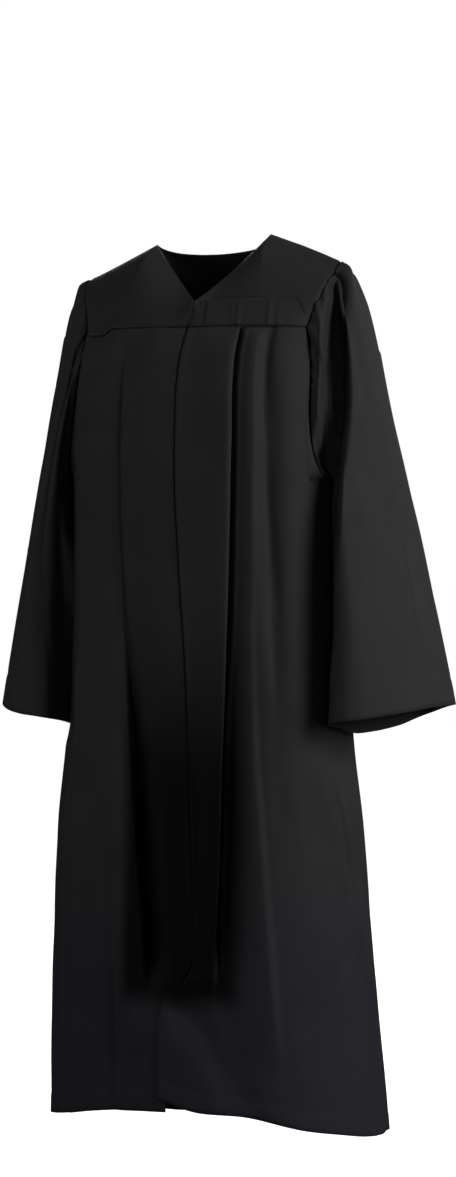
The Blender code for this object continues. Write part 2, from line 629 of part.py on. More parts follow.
def track_columns(tracks, side, top_of):
    """Columns that follow the named tracks, each from its top height to the hem."""
    seam = np.array(YOKE_SEAM if side else BACK_SEAM)
    lines = []
    for here, there, part in column_plan(tracks):
        top = top_of(part_angle(here, there, part, side, seam))
        bottom = hem_height(part_angle(here, there, part, side, np.array(HEM)))
        z = column_heights(top, bottom)
        lines.append(body_line(part_angle(here, there, part, side, z), z, top))
    return lines


def arm_columns(side, front):
    """Columns that start on the armhole and end between the corner and the side seam."""
    corner = FRONT_CORNER if front else BACK_CORNER
    lines = []
    for share in np.arange(1, ARM_COLUMNS + 1) / ARM_COLUMNS:
        top_angle, top = lower_armhole(share, front)
        low_angle = corner + (math.pi / 2 - corner) * share
        bottom = hem_height(side * low_angle)
        z = column_heights(top, bottom)
        angle = top_angle + (low_angle - top_angle) * smoothstep((top - z) / ARM_FAN)
        lines.append(body_line(side * angle, z, top))
    lines[-1][:, 1] += (-1 if front else 1) * SEAM_GAP / 2
    return lines


def seam_share(angle, side):
    """How far along the yoke seam a ring angle lies."""
    edge = ring_angle(zip_x(YOKE_SEAM) + side * ZIP_GAP / 2, YOKE_SEAM)
    return (angle - edge) / (side * FRONT_CORNER - edge)


def front_grid(side):
    """Front panel as a grid, zip edge first."""
    tracks = LEFT_TRACKS if side > 0 else RIGHT_TRACKS

    def top_of(angle):
        return yoke_seam_height(seam_share(angle, side), side) - SEAM_GAP / 2

    lines = track_columns(tracks, side, top_of)
    lines += arm_columns(side, True)
    panel = panel_of(lines)
    if side > 0:
        panel = Panel(lap_over(panel), panel.inward)
    return panel


def lap_over(panel):
    """Below the zip the left front lifts and laps over the right one."""
    points = panel.points
    z = points[..., 2]
    from_edge = points[..., 0] - points[:, :1, 0]
    near_edge = np.exp(-(from_edge / LAP_SPREAD) ** 2)
    lift = LAP_LIFT * smoothstep((ZIP_END - z) / LAP_START) * near_edge
    reach = LAP * smoothstep((ZIP_END - LAP_START - z) / LAP_START) * near_edge
    moved = points - panel.inward * lift[..., None]
    moved[..., 0] -= reach
    moved[..., 2] += LAP_RISE * smoothstep((ZIP_END - z) / LAP_RISE_DEPTH) * near_edge
    return moved


def back_grid():
    """Back panel as a grid, from the left side seam round to the right one."""
    left_arm = arm_columns(1, False)[::-1]
    right_arm = arm_columns(-1, False)
    middle = track_columns(BACK_TRACKS, 0, lambda angle: BACK_SEAM - SEAM_GAP / 2)
    return panel_of(left_arm + middle + right_arm)


def panel_of(lines):
    """Grid of points and inward directions from its columns."""
    both = np.stack(lines, axis=1)
    return Panel(both[..., :3], both[..., 3:])


def yoke_panel(points):
    """A yoke's grid with its inward directions, squared at the shoulder seam."""
    return Panel(points, shoulder_inward(points, inward_directions(points, CHEST)))


# ---------------------------------------------------------------- sleeves
def armhole_ring(side):
    """Points round the armhole with their sleeve stations in degrees, from the shoulder
    forward, under the arm and up the back."""
    down = np.linspace(0, 1, YOKE_ROWS + 1)
    front_top = front_yoke_rib(1.0, down, side)
    back_top = back_yoke_rib(side * 1.0, down)
    share = np.arange(1, ARM_COLUMNS + 1) / ARM_COLUMNS
    front_angle, front_z = lower_armhole(share, True)
    back_angle, back_z = lower_armhole(share, False)
    front_low = ring(side * front_angle, front_z)
    back_low = ring(side * back_angle, back_z)
    loop = np.concatenate([front_top, front_low, back_low[-2::-1], back_top[:0:-1]])
    loop[0] = (front_top[0] + back_top[0]) / 2
    return loop


def loop_stations(loop):
    """Sleeve station of each loop point, by its length round the loop, 180 under the arm."""
    steps = np.linalg.norm(np.roll(loop, -1, axis=0) - loop, axis=1)
    travelled = np.concatenate([[0.0], np.cumsum(steps)])
    low = YOKE_ROWS + ARM_COLUMNS
    front = travelled[:low + 1] / travelled[low] * 180
    back = 180 + (travelled[low + 1:-1] - travelled[low]) / (travelled[-1] - travelled[low]) * 180
    return np.concatenate([front, back])


def cuff_point(turn, side):
    """Point of the cuff's edge at a station in radians."""
    out, forward = np.cos(turn), np.sin(turn)
    short = CUFF_SHORT * out
    long = CUFF_LONG * forward
    x = CUFF_CENTRE[0] + short * math.cos(CUFF_TURN) - long * math.sin(CUFF_TURN)
    y = CUFF_CENTRE[1] - short * math.sin(CUFF_TURN) - long * math.cos(CUFF_TURN)
    z = column_of(RIBS, "turn", "cuff_z", np.degrees(turn))
    return np.stack([side * x, y, z], axis=-1)


def keep_clear(points, clearance):
    """Moves sleeve points out until they clear the body by the given distance."""
    z = points[..., 2]
    half_width = column_of(RINGS, "z", "half_width", z)
    middle_x = column_of(RINGS, "z", "middle_x", z)
    middle_y = column_of(RINGS, "z", "middle_y", z)
    front_reach = column_of(RINGS, "z", "front", z) + middle_y
    back_reach = column_of(RINGS, "z", "back", z) - middle_y
    side = np.sign(points[..., 0])
    ahead = middle_y - points[..., 1]
    reach = np.where(ahead > 0, front_reach, back_reach) + clearance
    inside = np.clip(1 - np.abs(ahead / reach) ** RING_POWER, 0, 1) ** (1 / RING_POWER)
    hollow = HOLLOW_DEPTH * np.exp(-(ahead / HOLLOW_WIDTH) ** 2)
    hollow = hollow * smoothstep((HOLLOW_TOP - z) / FOLD_TOP_FADE)
    hollow = hollow * smoothstep((z - HOLLOW_BOTTOM) / FOLD_END_FADE)
    limit = (half_width + clearance - hollow) * inside + side * middle_x
    lack = limit - side * points[..., 0]
    push = BODY_CLEARANCE * np.logaddexp(0, lack / BODY_CLEARANCE)
    push = np.where(lack > -PUSH_REACH, push, 0) * smoothstep(clearance / BODY_CLEARANCE)
    moved = points.copy()
    moved[..., 0] += side * push
    return moved


def sleeve_surface(side, loop, stations, shares):
    """Points of a sleeve: one row for each share of the way down, one column for each
    station."""
    turn = np.radians(stations)
    cuff = cuff_point(turn, side)
    out = column_of(RIBS, "turn", "leave_out", stations)
    forward = column_of(RIBS, "turn", "leave_forward", stations)
    down = column_of(RIBS, "turn", "leave_down", stations)
    leave = unit(np.stack([side * out, -forward, -down], axis=-1))
    fullness = CAP_FULLNESS[side] + (1 - CAP_FULLNESS[side]) * smoothstep(1 - np.cos(turn))
    leave = leave * (column_of(RIBS, "turn", "leave_length", stations) * fullness)[:, None]
    out = column_of(RIBS, "turn", "arrive_out", stations)
    forward = column_of(RIBS, "turn", "arrive_forward", stations)
    arrive = unit(np.stack([side * out, -forward, np.ones_like(out)], axis=-1))
    arrive = arrive * column_of(RIBS, "turn", "arrive_length", stations)[:, None]
    start = loop + np.array([side * SEAM_GAP, 0, 0])
    t = np.repeat(shares[:, None], len(stations), axis=1)
    points = bezier(start, start + leave, cuff + arrive, cuff, t)
    points = keep_clear(points, BODY_CLEARANCE * smoothstep(t / CLEAR_FROM))

    outward = -inward_directions(points, row_middles(points), closed=True)
    height = np.zeros(t.shape)
    for row in GATHERS:
        offset = stations[None, :] - row.turn - row.drift * t
        offset = (offset + 180) % 360 - 180
        shown = smoothstep((t - row.from_top) / GATHER_TOP_FADE)
        shown = shown * smoothstep((row.to_end - t) / GATHER_END_FADE)
        height += row.height * shown * side_bell(offset, row.near, row.far)
    inner_side = smoothstep((-np.cos(turn) - CALM_FROM) / CALM_FADE)
    height = height * (1 - CALM_SHARE * inner_side)
    return points + outward * height[..., None]


def sleeve_grid(side):
    loop = armhole_ring(side)
    shares = np.linspace(0, 1, SLEEVE_ROWS + 1) ** SLEEVE_BUNCHING
    points = sleeve_surface(side, loop, loop_stations(loop), shares)
    return Panel(points, inward_directions(points, row_middles(points), closed=True))


# ---------------------------------------------------------------- walls and objects
def row_middles(points):
    """Middle of each row of a grid, repeated for its columns."""
    return np.repeat(points.mean(axis=1, keepdims=True), points.shape[1], axis=1)


def inward_directions(points, inside, closed=False):
    """Unit directions through the cloth at each grid point, towards the given inside."""
    down = np.gradient(points, axis=0)
    if closed:
        along = np.roll(points, -1, axis=1) - np.roll(points, 1, axis=1)
    else:
        along = np.gradient(points, axis=1)
    normal = unit(np.cross(down, along))
    facing = np.sum(normal * (inside - points), axis=-1, keepdims=True)
    return normal * np.sign(np.sum(facing))


def tilted(points):
    """The shoulders' tilt: the left one up, the right one down."""
    points = np.array(points, dtype=float)
    share = smoothstep((points[..., 2] + TILT_DEPTH) / TILT_DEPTH)
    points[..., 2] += SHOULDER_TILT * points[..., 0] * share
    return points


def plain_material(name, colour, roughness, metallic=0.0):
    material = bpy.data.materials.new(name)
    material.use_nodes = True
    shader = material.node_tree.nodes["Principled BSDF"]
    shader.inputs["Base Color"].default_value = (*colour, 1.0)
    shader.inputs["Roughness"].default_value = roughness
    shader.inputs["Metallic"].default_value = metallic
    material.diffuse_color = (*colour, 1.0)
    return material


def add_object(name, vertices, faces, material):
    mesh = bpy.data.meshes.new(name)
    mesh.from_pydata([tuple(v) for v in vertices], [], faces)
    mesh.update()
    mesh.shade_smooth()
    mesh.set_sharp_from_angle(angle=math.radians(50))
    item = bpy.data.objects.new(name, mesh)
    item.data.materials.append(material)
    bpy.context.scene.collection.objects.link(item)
    return item


def grid_triangles(rows, columns, closed):
    """Triangles of a grid of points, the same diagonal in each cell."""
    triangles = []
    last = columns if closed else columns - 1
    for row in range(rows - 1):
        for column in range(last):
            there = (column + 1) % columns
            a = row * columns + column
            b = row * columns + there
            c = (row + 1) * columns + there
            d = (row + 1) * columns + column
            triangles += [(a, b, c), (a, c, d)]
    return triangles


def cloth_wall(name, panel, closed=False, wall=CLOTH, colour=BLACK):
    """Closed solid of a cloth panel: its outer points, the same points further in, and the
    rims between them."""
    rows, columns = panel.points.shape[:2]
    outer = tilted(panel.points).reshape(-1, 3)
    inner = tilted(panel.points + panel.inward * wall).reshape(-1, 3)
    count = rows * columns
    triangles = grid_triangles(rows, columns, closed)
    faces = list(triangles)
    faces += [(a + count, c + count, b + count) for a, b, c in triangles]
    top = list(range(columns))
    bottom = [(rows - 1) * columns + column for column in range(columns)]
    if closed:
        rims = [list(reversed(top)) + [top[-1]], bottom + [bottom[0]]]
    else:
        right = [row * columns + columns - 1 for row in range(rows)]
        left = [row * columns for row in range(rows)]
        rims = [list(reversed(top)), bottom, list(reversed(right)), left]
    for rim in rims:
        for a, b in zip(rim[:-1], rim[1:]):
            faces += [(a, b, b + count), (a, b + count, a + count)]
    if signed_volume(np.concatenate([outer, inner]), faces) < 0:
        faces = [face[::-1] for face in faces]
    return add_object(name, np.concatenate([outer, inner]), faces,
                      plain_material(name, colour, CLOTH_ROUGHNESS))


def signed_volume(vertices, faces):
    corners = vertices[np.array(faces)]
    return float(np.sum(np.cross(corners[:, 0], corners[:, 1]) * corners[:, 2]) / 6)


# ---------------------------------------------------------------- zip
def tape_grid(front, yoke):
    """Tape behind a front edge: a strip of the yoke's and the panel's own points, moved in."""
    strips = []
    for panel in (yoke, front):
        edge = panel.points[:, 0]
        reach = np.linalg.norm(panel.points[:, 1] - edge, axis=-1)[:, None]
        across = (panel.points[:, 1] - edge) / reach
        inner_edge = edge - across * TAPE_SHOWN
        inner_edge = inner_edge + panel.inward[:, 0] * TAPE_DEPTH
        part = TAPE_WIDTH / reach
        way = panel.inward[:, 0] * (1 - part) + panel.inward[:, 1] * part
        outer_edge = edge + across * TAPE_WIDTH + way * TAPE_DEPTH
        points = np.stack([inner_edge, outer_edge], axis=1)
        inward = np.stack([panel.inward[:, 0], unit(way)], axis=1)
        strips.append(np.concatenate([points, inward], axis=-1))
    joined = np.concatenate([strips[0], strips[1][1:]])
    above = int(np.sum(joined[:, 0, 2] > ZIP_END))
    upper, lower = joined[above - 1], joined[above]
    part = (upper[0, 2] - ZIP_END) / (upper[0, 2] - lower[0, 2])
    joined = np.concatenate([joined[:above], (upper + (lower - upper) * part)[None]])
    return Panel(joined[..., :3], joined[..., 3:])


def slider_frame():
    """Pivot of the pull tab and the slope of the cloth at the slider, from the vertical."""
    left = front_yoke_rib(0.0, np.array([0.0, SLOPE_SHARE]), 1)
    right = front_yoke_rib(0.0, np.array([0.0, SLOPE_SHARE]), -1)
    edge = (left + right) / 2
    way = unit(edge[1] - edge[0])
    slope = math.atan2(-way[1], -way[2])
    middle = edge[0] + way * SLIDER_BELOW_V
    out = np.array([0.0, -math.cos(slope), math.sin(slope)])
    pivot = middle + out * (SLIDER_LIFT + SLIDER_DEPTH + PIVOT_HEIGHT)
    return tilted(pivot), slope


def box_solid(low, high):
    """Vertices and faces of a box, given by two corners."""
    vertices = [(x, y, z) for x in (low[0], high[0]) for y in (low[1], high[1])
                for z in (low[2], high[2])]
    faces = [(0, 1, 3, 2), (4, 6, 7, 5), (0, 4, 5, 1), (2, 3, 7, 6), (0, 2, 6, 4), (1, 5, 7, 3)]
    return vertices, faces


def extruded_outline(outline, half_width):
    """Solid of an outline in the out-up plane, given a width across."""
    count = len(outline)
    vertices = [(-half_width, -out, up) for out, up in outline]
    vertices += [(half_width, -out, up) for out, up in outline]
    faces = [tuple(range(count)), tuple(reversed(range(count, 2 * count)))]
    for here in range(count):
        there = (here + 1) % count
        faces.append((there, here, here + count, there + count))
    return vertices, faces


def outward_faces(vertices, faces):
    """The same faces, turned to point out."""
    triangles = [(face[0], face[i], face[i + 1]) for face in faces for i in range(1, len(face) - 1)]
    if signed_volume(np.array(vertices), triangles) < 0:
        return [tuple(reversed(face)) for face in faces]
    return faces


def zip_slider(pivot, slope):
    """Slider body with its bridge, one solid in profile: a plate, and an arch over the pull's
    crossbar."""
    face = -PIVOT_HEIGHT
    plate_low = (-SLIDER_WIDTH / 2, -face, -SLIDER_LENGTH / 2)
    plate_high = (SLIDER_WIDTH / 2, -face + SLIDER_DEPTH, SLIDER_LENGTH / 2)
    half = BRIDGE_LENGTH / 2
    outer = [(face + row.height * BRIDGE_HEIGHT, row.reach * half) for row in ARCH]
    inner = [(face + row.height * (BRIDGE_HEIGHT - BRIDGE_WALL), row.reach * half - BRIDGE_WALL)
             for row in ARCH]
    arch = [(out, -up) for out, up in outer] + outer[::-1]
    arch += inner + [(out, -up) for out, up in inner[::-1]]
    material = plain_material("zip_slider", GUNMETAL, METAL_ROUGHNESS, METALLIC)
    vertices, faces = box_solid(plate_low, plate_high)
    plate = add_object("zip_slider", vertices, outward_faces(vertices, faces), material)
    bevel = plate.modifiers.new("rounded plate", "BEVEL")
    bevel.width = SLIDER_BEVEL
    bevel.segments = 1
    vertices, faces = extruded_outline(arch, BRIDGE_WIDTH / 2)
    bridge = add_object("bridge_guide", vertices, outward_faces(vertices, faces), material)
    bridge.hide_render = True
    bridge.display_type = "WIRE"
    join = plate.modifiers.new("bridge", "BOOLEAN")
    join.operation = "UNION"
    join.object = bridge
    for item in (plate, bridge):
        item.location = pivot
        item.rotation_euler = (-slope, 0.0, 0.0)
    return plate


def zip_pull(pivot, slope):
    """Pull tab: a plate with a window whose upper bar passes under the bridge."""
    half_bar = PULL_BAR / 2
    outline = [(-row.half_width, -row.down) for row in PULL_ROWS]
    outline += [(row.half_width, -row.down) for row in reversed(PULL_ROWS)]
    count = len(outline)
    vertices = [(x, -half_bar, up) for x, up in outline] + [(x, half_bar, up) for x, up in outline]
    faces = [tuple(range(count)), tuple(reversed(range(count, 2 * count)))]
    for here in range(count):
        there = (here + 1) % count
        faces.append((there, here, here + count, there + count))
    material = plain_material("zip_pull", GUNMETAL, METAL_ROUGHNESS, METALLIC)
    pull = add_object("zip_pull", vertices, outward_faces(vertices, faces), material)
    low = (-PULL_WINDOW / 2, -PULL_WIDTH, -PULL_WINDOW_LENGTH)
    high = (PULL_WINDOW / 2, PULL_WIDTH, -half_bar)
    vertices, faces = box_solid(low, high)
    window = add_object("window_guide", vertices, outward_faces(vertices, faces), material)
    window.hide_render = True
    window.display_type = "WIRE"
    cut = pull.modifiers.new("window", "BOOLEAN")
    cut.operation = "DIFFERENCE"
    cut.object = window
    for item in (pull, window):
        item.location = pivot
        item.rotation_euler = (-slope, 0.0, 0.0)
    return pull


# ---------------------------------------------------------------- the gown
def clear_scene():
    for item in list(bpy.data.objects):
        bpy.data.objects.remove(item, do_unlink=True)


def build_gown():
    left_yoke = yoke_panel(front_yoke_grid(1))
    right_yoke = yoke_panel(front_yoke_grid(-1))
    left_front = front_grid(1)
    right_front = front_grid(-1)
    cloth_wall("yoke_front_left", left_yoke)
    cloth_wall("yoke_front_right", right_yoke)
    cloth_wall("yoke_back", yoke_panel(back_yoke_grid()))
    cloth_wall("yoke_band_left", band_grid(left_yoke), wall=BAND_WALL)
    cloth_wall("front_left", left_front)
    cloth_wall("front_right", right_front)
    cloth_wall("back", back_grid())
    cloth_wall("sleeve_left", sleeve_grid(1), closed=True)
    cloth_wall("sleeve_right", sleeve_grid(-1), closed=True)
    cloth_wall("zip_tape_left", tape_grid(left_front, left_yoke), wall=TAPE)
    cloth_wall("zip_tape_right", tape_grid(right_front, right_yoke), wall=TAPE)
    pivot, slope = slider_frame()
    zip_slider(pivot, slope)
    zip_pull(pivot, slope)


clear_scene()
build_gown()
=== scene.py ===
"""Looks of the graduation gown: fine cloth, pressed and gathered folds, seams with their stitches,
the zip's tapes and teeth, a finish for its slider and pull tab, a pale floor and soft light.

The cloth lies on the same surfaces as the solids, so their sizes are repeated here.  Metres, +Z up,
the gown faces -Y and the wearer's left is +X.  A side is +1 for the left and -1 for the right.
"""
import math
from collections import namedtuple

import bpy
import numpy as np
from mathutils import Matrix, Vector


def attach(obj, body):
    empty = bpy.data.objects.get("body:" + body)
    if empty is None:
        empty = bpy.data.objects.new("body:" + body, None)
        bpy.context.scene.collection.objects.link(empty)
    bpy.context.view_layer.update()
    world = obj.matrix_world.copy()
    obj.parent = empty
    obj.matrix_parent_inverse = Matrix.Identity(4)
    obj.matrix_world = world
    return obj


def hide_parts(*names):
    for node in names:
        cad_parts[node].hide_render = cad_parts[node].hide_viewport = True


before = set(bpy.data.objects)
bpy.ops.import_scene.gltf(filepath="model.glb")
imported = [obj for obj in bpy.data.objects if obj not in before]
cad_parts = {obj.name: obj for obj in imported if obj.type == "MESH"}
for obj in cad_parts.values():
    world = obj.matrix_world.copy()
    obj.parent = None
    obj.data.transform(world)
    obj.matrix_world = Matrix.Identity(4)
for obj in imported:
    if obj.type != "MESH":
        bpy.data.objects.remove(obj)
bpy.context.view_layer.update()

# ---------------------------------------------------------------- driving sizes
SEAM_GAP = 0.0003           # between two sewn pieces
RING_POWER = 2.4            # 2 is an ellipse, more is squarer
INSIDE = np.array([0.0, 0.0, -0.6])     # a point inside the body
FULL_TURN = 2 * math.pi

NECK_X = 0.088              # shoulder-neck point
SHOULDER = (0.194, 0.005, -0.045)      # where the shoulder seam meets the sleeve head
NECK_FRONT = (0.006, -0.097, -0.093)   # bottom of the V
NECK_BACK = (0.0, 0.052, -0.018)       # middle of the back neck edge
NECK_SLOPE = 1.1            # the V's edges rise a little faster towards the neck
NECK_ROUND = 2.2            # roundness of the back neck
SHOULDER_TILT = 0.067       # the left shoulder is carried a little higher
TILT_DEPTH = 0.12           # the tilt has gone this far below the neck

YOKE_SEAM = -0.131          # front yoke seam height
YOKE_DIP = 0.010            # the right yoke's outer end hangs lower, as a rounded scallop
YOKE_DIP_FROM = 0.56        # shares of the seam where it starts, is full, and ends
YOKE_DIP_FULL = 0.69
YOKE_DIP_BACK = 0.86
YOKE_HANDLE = 0.40          # shares of a yoke's height over which it leaves its edges
BACK_HANDLE = 0.36
YOKE_BULGE = 0.013          # the yokes' outer edges round out over the arm
BULGE_POWER = 6
BACK_SEAM = -0.165
SEAM_STEP = 0.006           # a yoke runs on to the panel's surface this far below its seam

UNDERARM = -0.350
FRONT_CORNER = math.radians(58.4)      # ring angle where yoke seam meets armhole
BACK_CORNER = math.radians(121.0)
ARMHOLE_POWER = 2.6         # roundness of the lower armhole
LEFT_FRONT_POWER = 4.0      # the left front's hangs straighter
ARM_EASE = math.radians(5.5)           # the left front reaches this much further to the arm
ARM_EASE_SHAPE = 9.5        # makes the most of the ease's curve about 1
FOLD_FREE = 0.035           # folds rise from nothing beside the armhole over this distance
ARM_FAN = 0.25              # columns below the armhole spread out over this depth

HEM = -1.270                # mean hem height
ZIP_GAP = 0.003             # between the two front edges
ZIP_END = -1.035
LAP = 0.014                 # the left front laps over the right below the zip
LAP_LIFT = 0.003
LAP_SPREAD = 0.030
LAP_START = 0.028           # below the zip's end the edge first lifts this far, then laps
LAP_RISE = 0.016            # its lower corner is carried higher over this depth
LAP_RISE_DEPTH = 0.20
RING_STEP = 0.010           # half of the turn over which a direction on the ring is measured

CAMERA_TURN = math.radians(20.0)        # towards the wearer's left

RingRow = namedtuple("RingRow", "z half_width front back middle_x middle_y")
RINGS = (
    RingRow(-0.080, 0.188, 0.086, 0.074, 0.000, -0.008),
    RingRow(-0.131, 0.192, 0.120, 0.088, 0.000, -0.014),
    RingRow(-0.170, 0.194, 0.145, 0.097, 0.000, -0.020),
    RingRow(-0.210, 0.197, 0.157, 0.104, 0.000, -0.024),
    RingRow(-0.290, 0.203, 0.162, 0.112, 0.000, -0.025),
    RingRow(-0.480, 0.205, 0.160, 0.118, 0.000, -0.024),
    RingRow(-0.620, 0.208, 0.163, 0.126, 0.000, -0.022),
    RingRow(-0.750, 0.213, 0.168, 0.132, 0.000, -0.020),
    RingRow(-0.870, 0.220, 0.173, 0.139, 0.002, -0.018),
    RingRow(-1.020, 0.228, 0.180, 0.148, 0.004, -0.015),
    RingRow(-1.160, 0.235, 0.186, 0.157, 0.008, -0.012),
    RingRow(-1.310, 0.243, 0.192, 0.167, 0.013, -0.010),
)

# Directions in which a yoke leaves its top edge, at the neck and at the shoulder
YokeLeave = namedtuple("YokeLeave", "neck shoulder")
FRONT_LEAVE = YokeLeave((0.0, -0.60, -0.80), (0.0, -1.00, -0.30))
BACK_LEAVE = YokeLeave((0.0, 0.70, -0.70), (0.0, 1.00, -0.32))

HemRow = namedtuple("HemRow", "angle z")
HEMS = (
    HemRow(-180, -1.300), HemRow(-135, -1.297), HemRow(-90, -1.281), HemRow(-50, -1.264),
    HemRow(-20, -1.248), HemRow(0, -1.245), HemRow(18, -1.247), HemRow(45, -1.268),
    HemRow(62, -1.277), HemRow(90, -1.292), HemRow(135, -1.299), HemRow(180, -1.300),
)

ZipRow = namedtuple("ZipRow", "z x")
ZIP_LINE = (
    ZipRow(-0.080, 0.006),
    ZipRow(-0.210, 0.001),
    ZipRow(-0.370, 0.000),
    ZipRow(-0.480, 0.005),
    ZipRow(-0.600, 0.014),
    ZipRow(-0.730, 0.022),
    ZipRow(-0.880, 0.030),
    ZipRow(-0.980, 0.035),
    ZipRow(-1.030, 0.034),
    ZipRow(-1.060, 0.020),
    ZipRow(-1.090, 0.004),
    ZipRow(-1.130, -0.003),
    ZipRow(-1.180, -0.004),
    ZipRow(-1.310, -0.001),
)

# A fold runs down the body at three ring angles in degrees.  Its height is positive for a
# ridge and negative for a valley; near and far are its widths towards lower and higher angles.
YOKE_STATION = -0.130
WAIST_STATION = -0.550
HEM_STATION = -1.270
FOLD_TOP_FADE = 0.05
FOLD_END_FADE = 0.16
TOP_RISE = 0.022            # folds rise from nothing at the seam over this depth

FoldRow = namedtuple("FoldRow", "name yoke waist hem z_from z_to height near far")
FOLDS = (
    FoldRow("pleat edge", 19.0, 16.2, 8.5, -0.10, -1.12, 0.0070, 0.034, 0.0040),
    FoldRow("pleat valley", 21.1, 18.3, 10.8, -0.10, -1.10, -0.0060, 0.0040, 0.024),
    FoldRow("second ridge", 30.5, 27.8, 36.0, -0.10, -1.22, 0.0060, 0.022, 0.0065),
    FoldRow("second valley", 35.0, 38.0, 52.0, -0.10, -0.72, -0.0060, 0.007, 0.014),
    FoldRow("left side ridge", 48.0, 52.0, 115.0, -0.72, -1.12, 0.0060, 0.024, 0.030),
    FoldRow("left hem valley", 0.0, -51.0, 25.0, -1.06, -1.50, -0.0060, 0.030, 0.030),
    FoldRow("left panel crown", 48.0, 48.0, 50.0, -0.16, -0.90, 0.0040, 0.035, 0.030),
    FoldRow("right deep valley", -23.8, -21.1, -4.0, -0.12, -1.16, -0.0060, 0.014, 0.026),
    FoldRow("right low valley", -24.0, -17.0, -5.0, -0.66, -1.12, -0.0060, 0.020, 0.012),
    FoldRow("right low crest", -18.0, -10.5, 2.0, -0.66, -1.12, 0.0060, 0.014, 0.020),
    FoldRow("right panel crown", -33.0, -32.0, -28.0, -0.18, -0.95, 0.0045, 0.030, 0.024),
    FoldRow("right outer fold", -46.0, -46.0, -40.0, -0.58, -1.50, 0.0100, 0.008, 0.022),
    FoldRow("right outer valley", -50.0, -51.0, -47.0, -0.60, -1.50, -0.0060, 0.024, 0.009),
    FoldRow("right hem line", -26.0, -24.0, -20.0, -0.86, -1.50, -0.0050, 0.014, 0.010),
    FoldRow("left arm hollow", 88.0, 90.0, 92.0, -0.30, -0.86, -0.0120, 0.070, 0.075),
    FoldRow("right arm hollow", -88.0, -90.0, -92.0, -0.30, -0.86, -0.0120, 0.075, 0.070),
    FoldRow("left side wave", 84.0, 86.0, 84.0, -0.84, -1.50, -0.0050, 0.030, 0.026),
    FoldRow("right side wave", -76.0, -78.0, -76.0, -0.69, -1.50, 0.0075, 0.028, 0.024),
    FoldRow("right side valley", -96.0, -98.0, -98.0, -0.86, -1.50, -0.0060, 0.026, 0.020),
    FoldRow("back fold 1", 128.0, 124.0, 118.0, -0.20, -1.50, 0.0110, 0.020, 0.016),
    FoldRow("back fold 2", 138.0, 136.0, 131.0, -0.17, -1.50, -0.0090, 0.018, 0.020),
    FoldRow("back fold 3", 148.0, 147.0, 145.0, -0.17, -1.50, 0.0120, 0.016, 0.022),
    FoldRow("back fold 4", 158.0, 158.0, 157.0, -0.17, -1.50, -0.0080, 0.020, 0.016),
    FoldRow("back fold 5", 168.0, 168.5, 168.0, -0.17, -1.50, 0.0100, 0.018, 0.018),
    FoldRow("back fold 6", -178.0, -179.0, 180.0, -0.17, -1.50, -0.0090, 0.020, 0.024),
    FoldRow("back fold 7", -168.0, -168.0, -166.0, -0.17, -1.50, 0.0120, 0.018, 0.016),
    FoldRow("back fold 8", -157.0, -156.0, -155.0, -0.17, -1.50, -0.0070, 0.016, 0.020),
    FoldRow("back fold 9", -147.0, -145.0, -141.0, -0.17, -1.50, 0.0110, 0.022, 0.018),
    FoldRow("back fold 10", -137.0, -134.0, -128.0, -0.18, -1.50, -0.0090, 0.018, 0.020),
    FoldRow("back fold 11", -127.0, -123.0, -116.0, -0.22, -1.50, 0.0100, 0.018, 0.022),
)

# Column tracks of each panel: a line that the columns follow, and the columns up to the next.
TrackRow = namedtuple("TrackRow", "name columns")
LEFT_TRACKS = (
    TrackRow("zip", 21), TrackRow("left pleat edge", 16), TrackRow("left pleat foot", 10),
    TrackRow("left pleat brim", 18), TrackRow("second ridge", 12), TrackRow("second valley", 16),
    TrackRow("corner", 0),
)
RIGHT_TRACKS = (
    TrackRow("zip", 16), TrackRow("right pleat brim", 14), TrackRow("right pleat foot", 18),
    TrackRow("right pleat edge", 18), TrackRow("right panel crown", 12),
    TrackRow("right outer fold", 8), TrackRow("right outer valley", 12), TrackRow("corner", 0),
)
BACK_TRACKS = (
    TrackRow("corner", 7), *(TrackRow(f"back fold {count}", 14) for count in range(1, 11)),
    TrackRow("back fold 11", 7), TrackRow("far corner", 0),
)
# Lines that only guide columns: three ring angles each, as for a fold
GUIDES = (
    FoldRow("left pleat edge", 19.6, 16.4, 8.0, 0, 0, 0, 0, 0),
    FoldRow("left pleat foot", 21.7, 18.5, 10.4, 0, 0, 0, 0, 0),
    FoldRow("left pleat brim", 23.6, 20.4, 12.4, 0, 0, 0, 0, 0),
    FoldRow("right pleat edge", -25.0, -21.6, -4.6, 0, 0, 0, 0, 0),
    FoldRow("right pleat foot", -21.7, -18.3, -3.6, 0, 0, 0, 0, 0),
    FoldRow("right pleat brim", -16.4, -13.4, -2.8, 0, 0, 0, 0, 0),
)

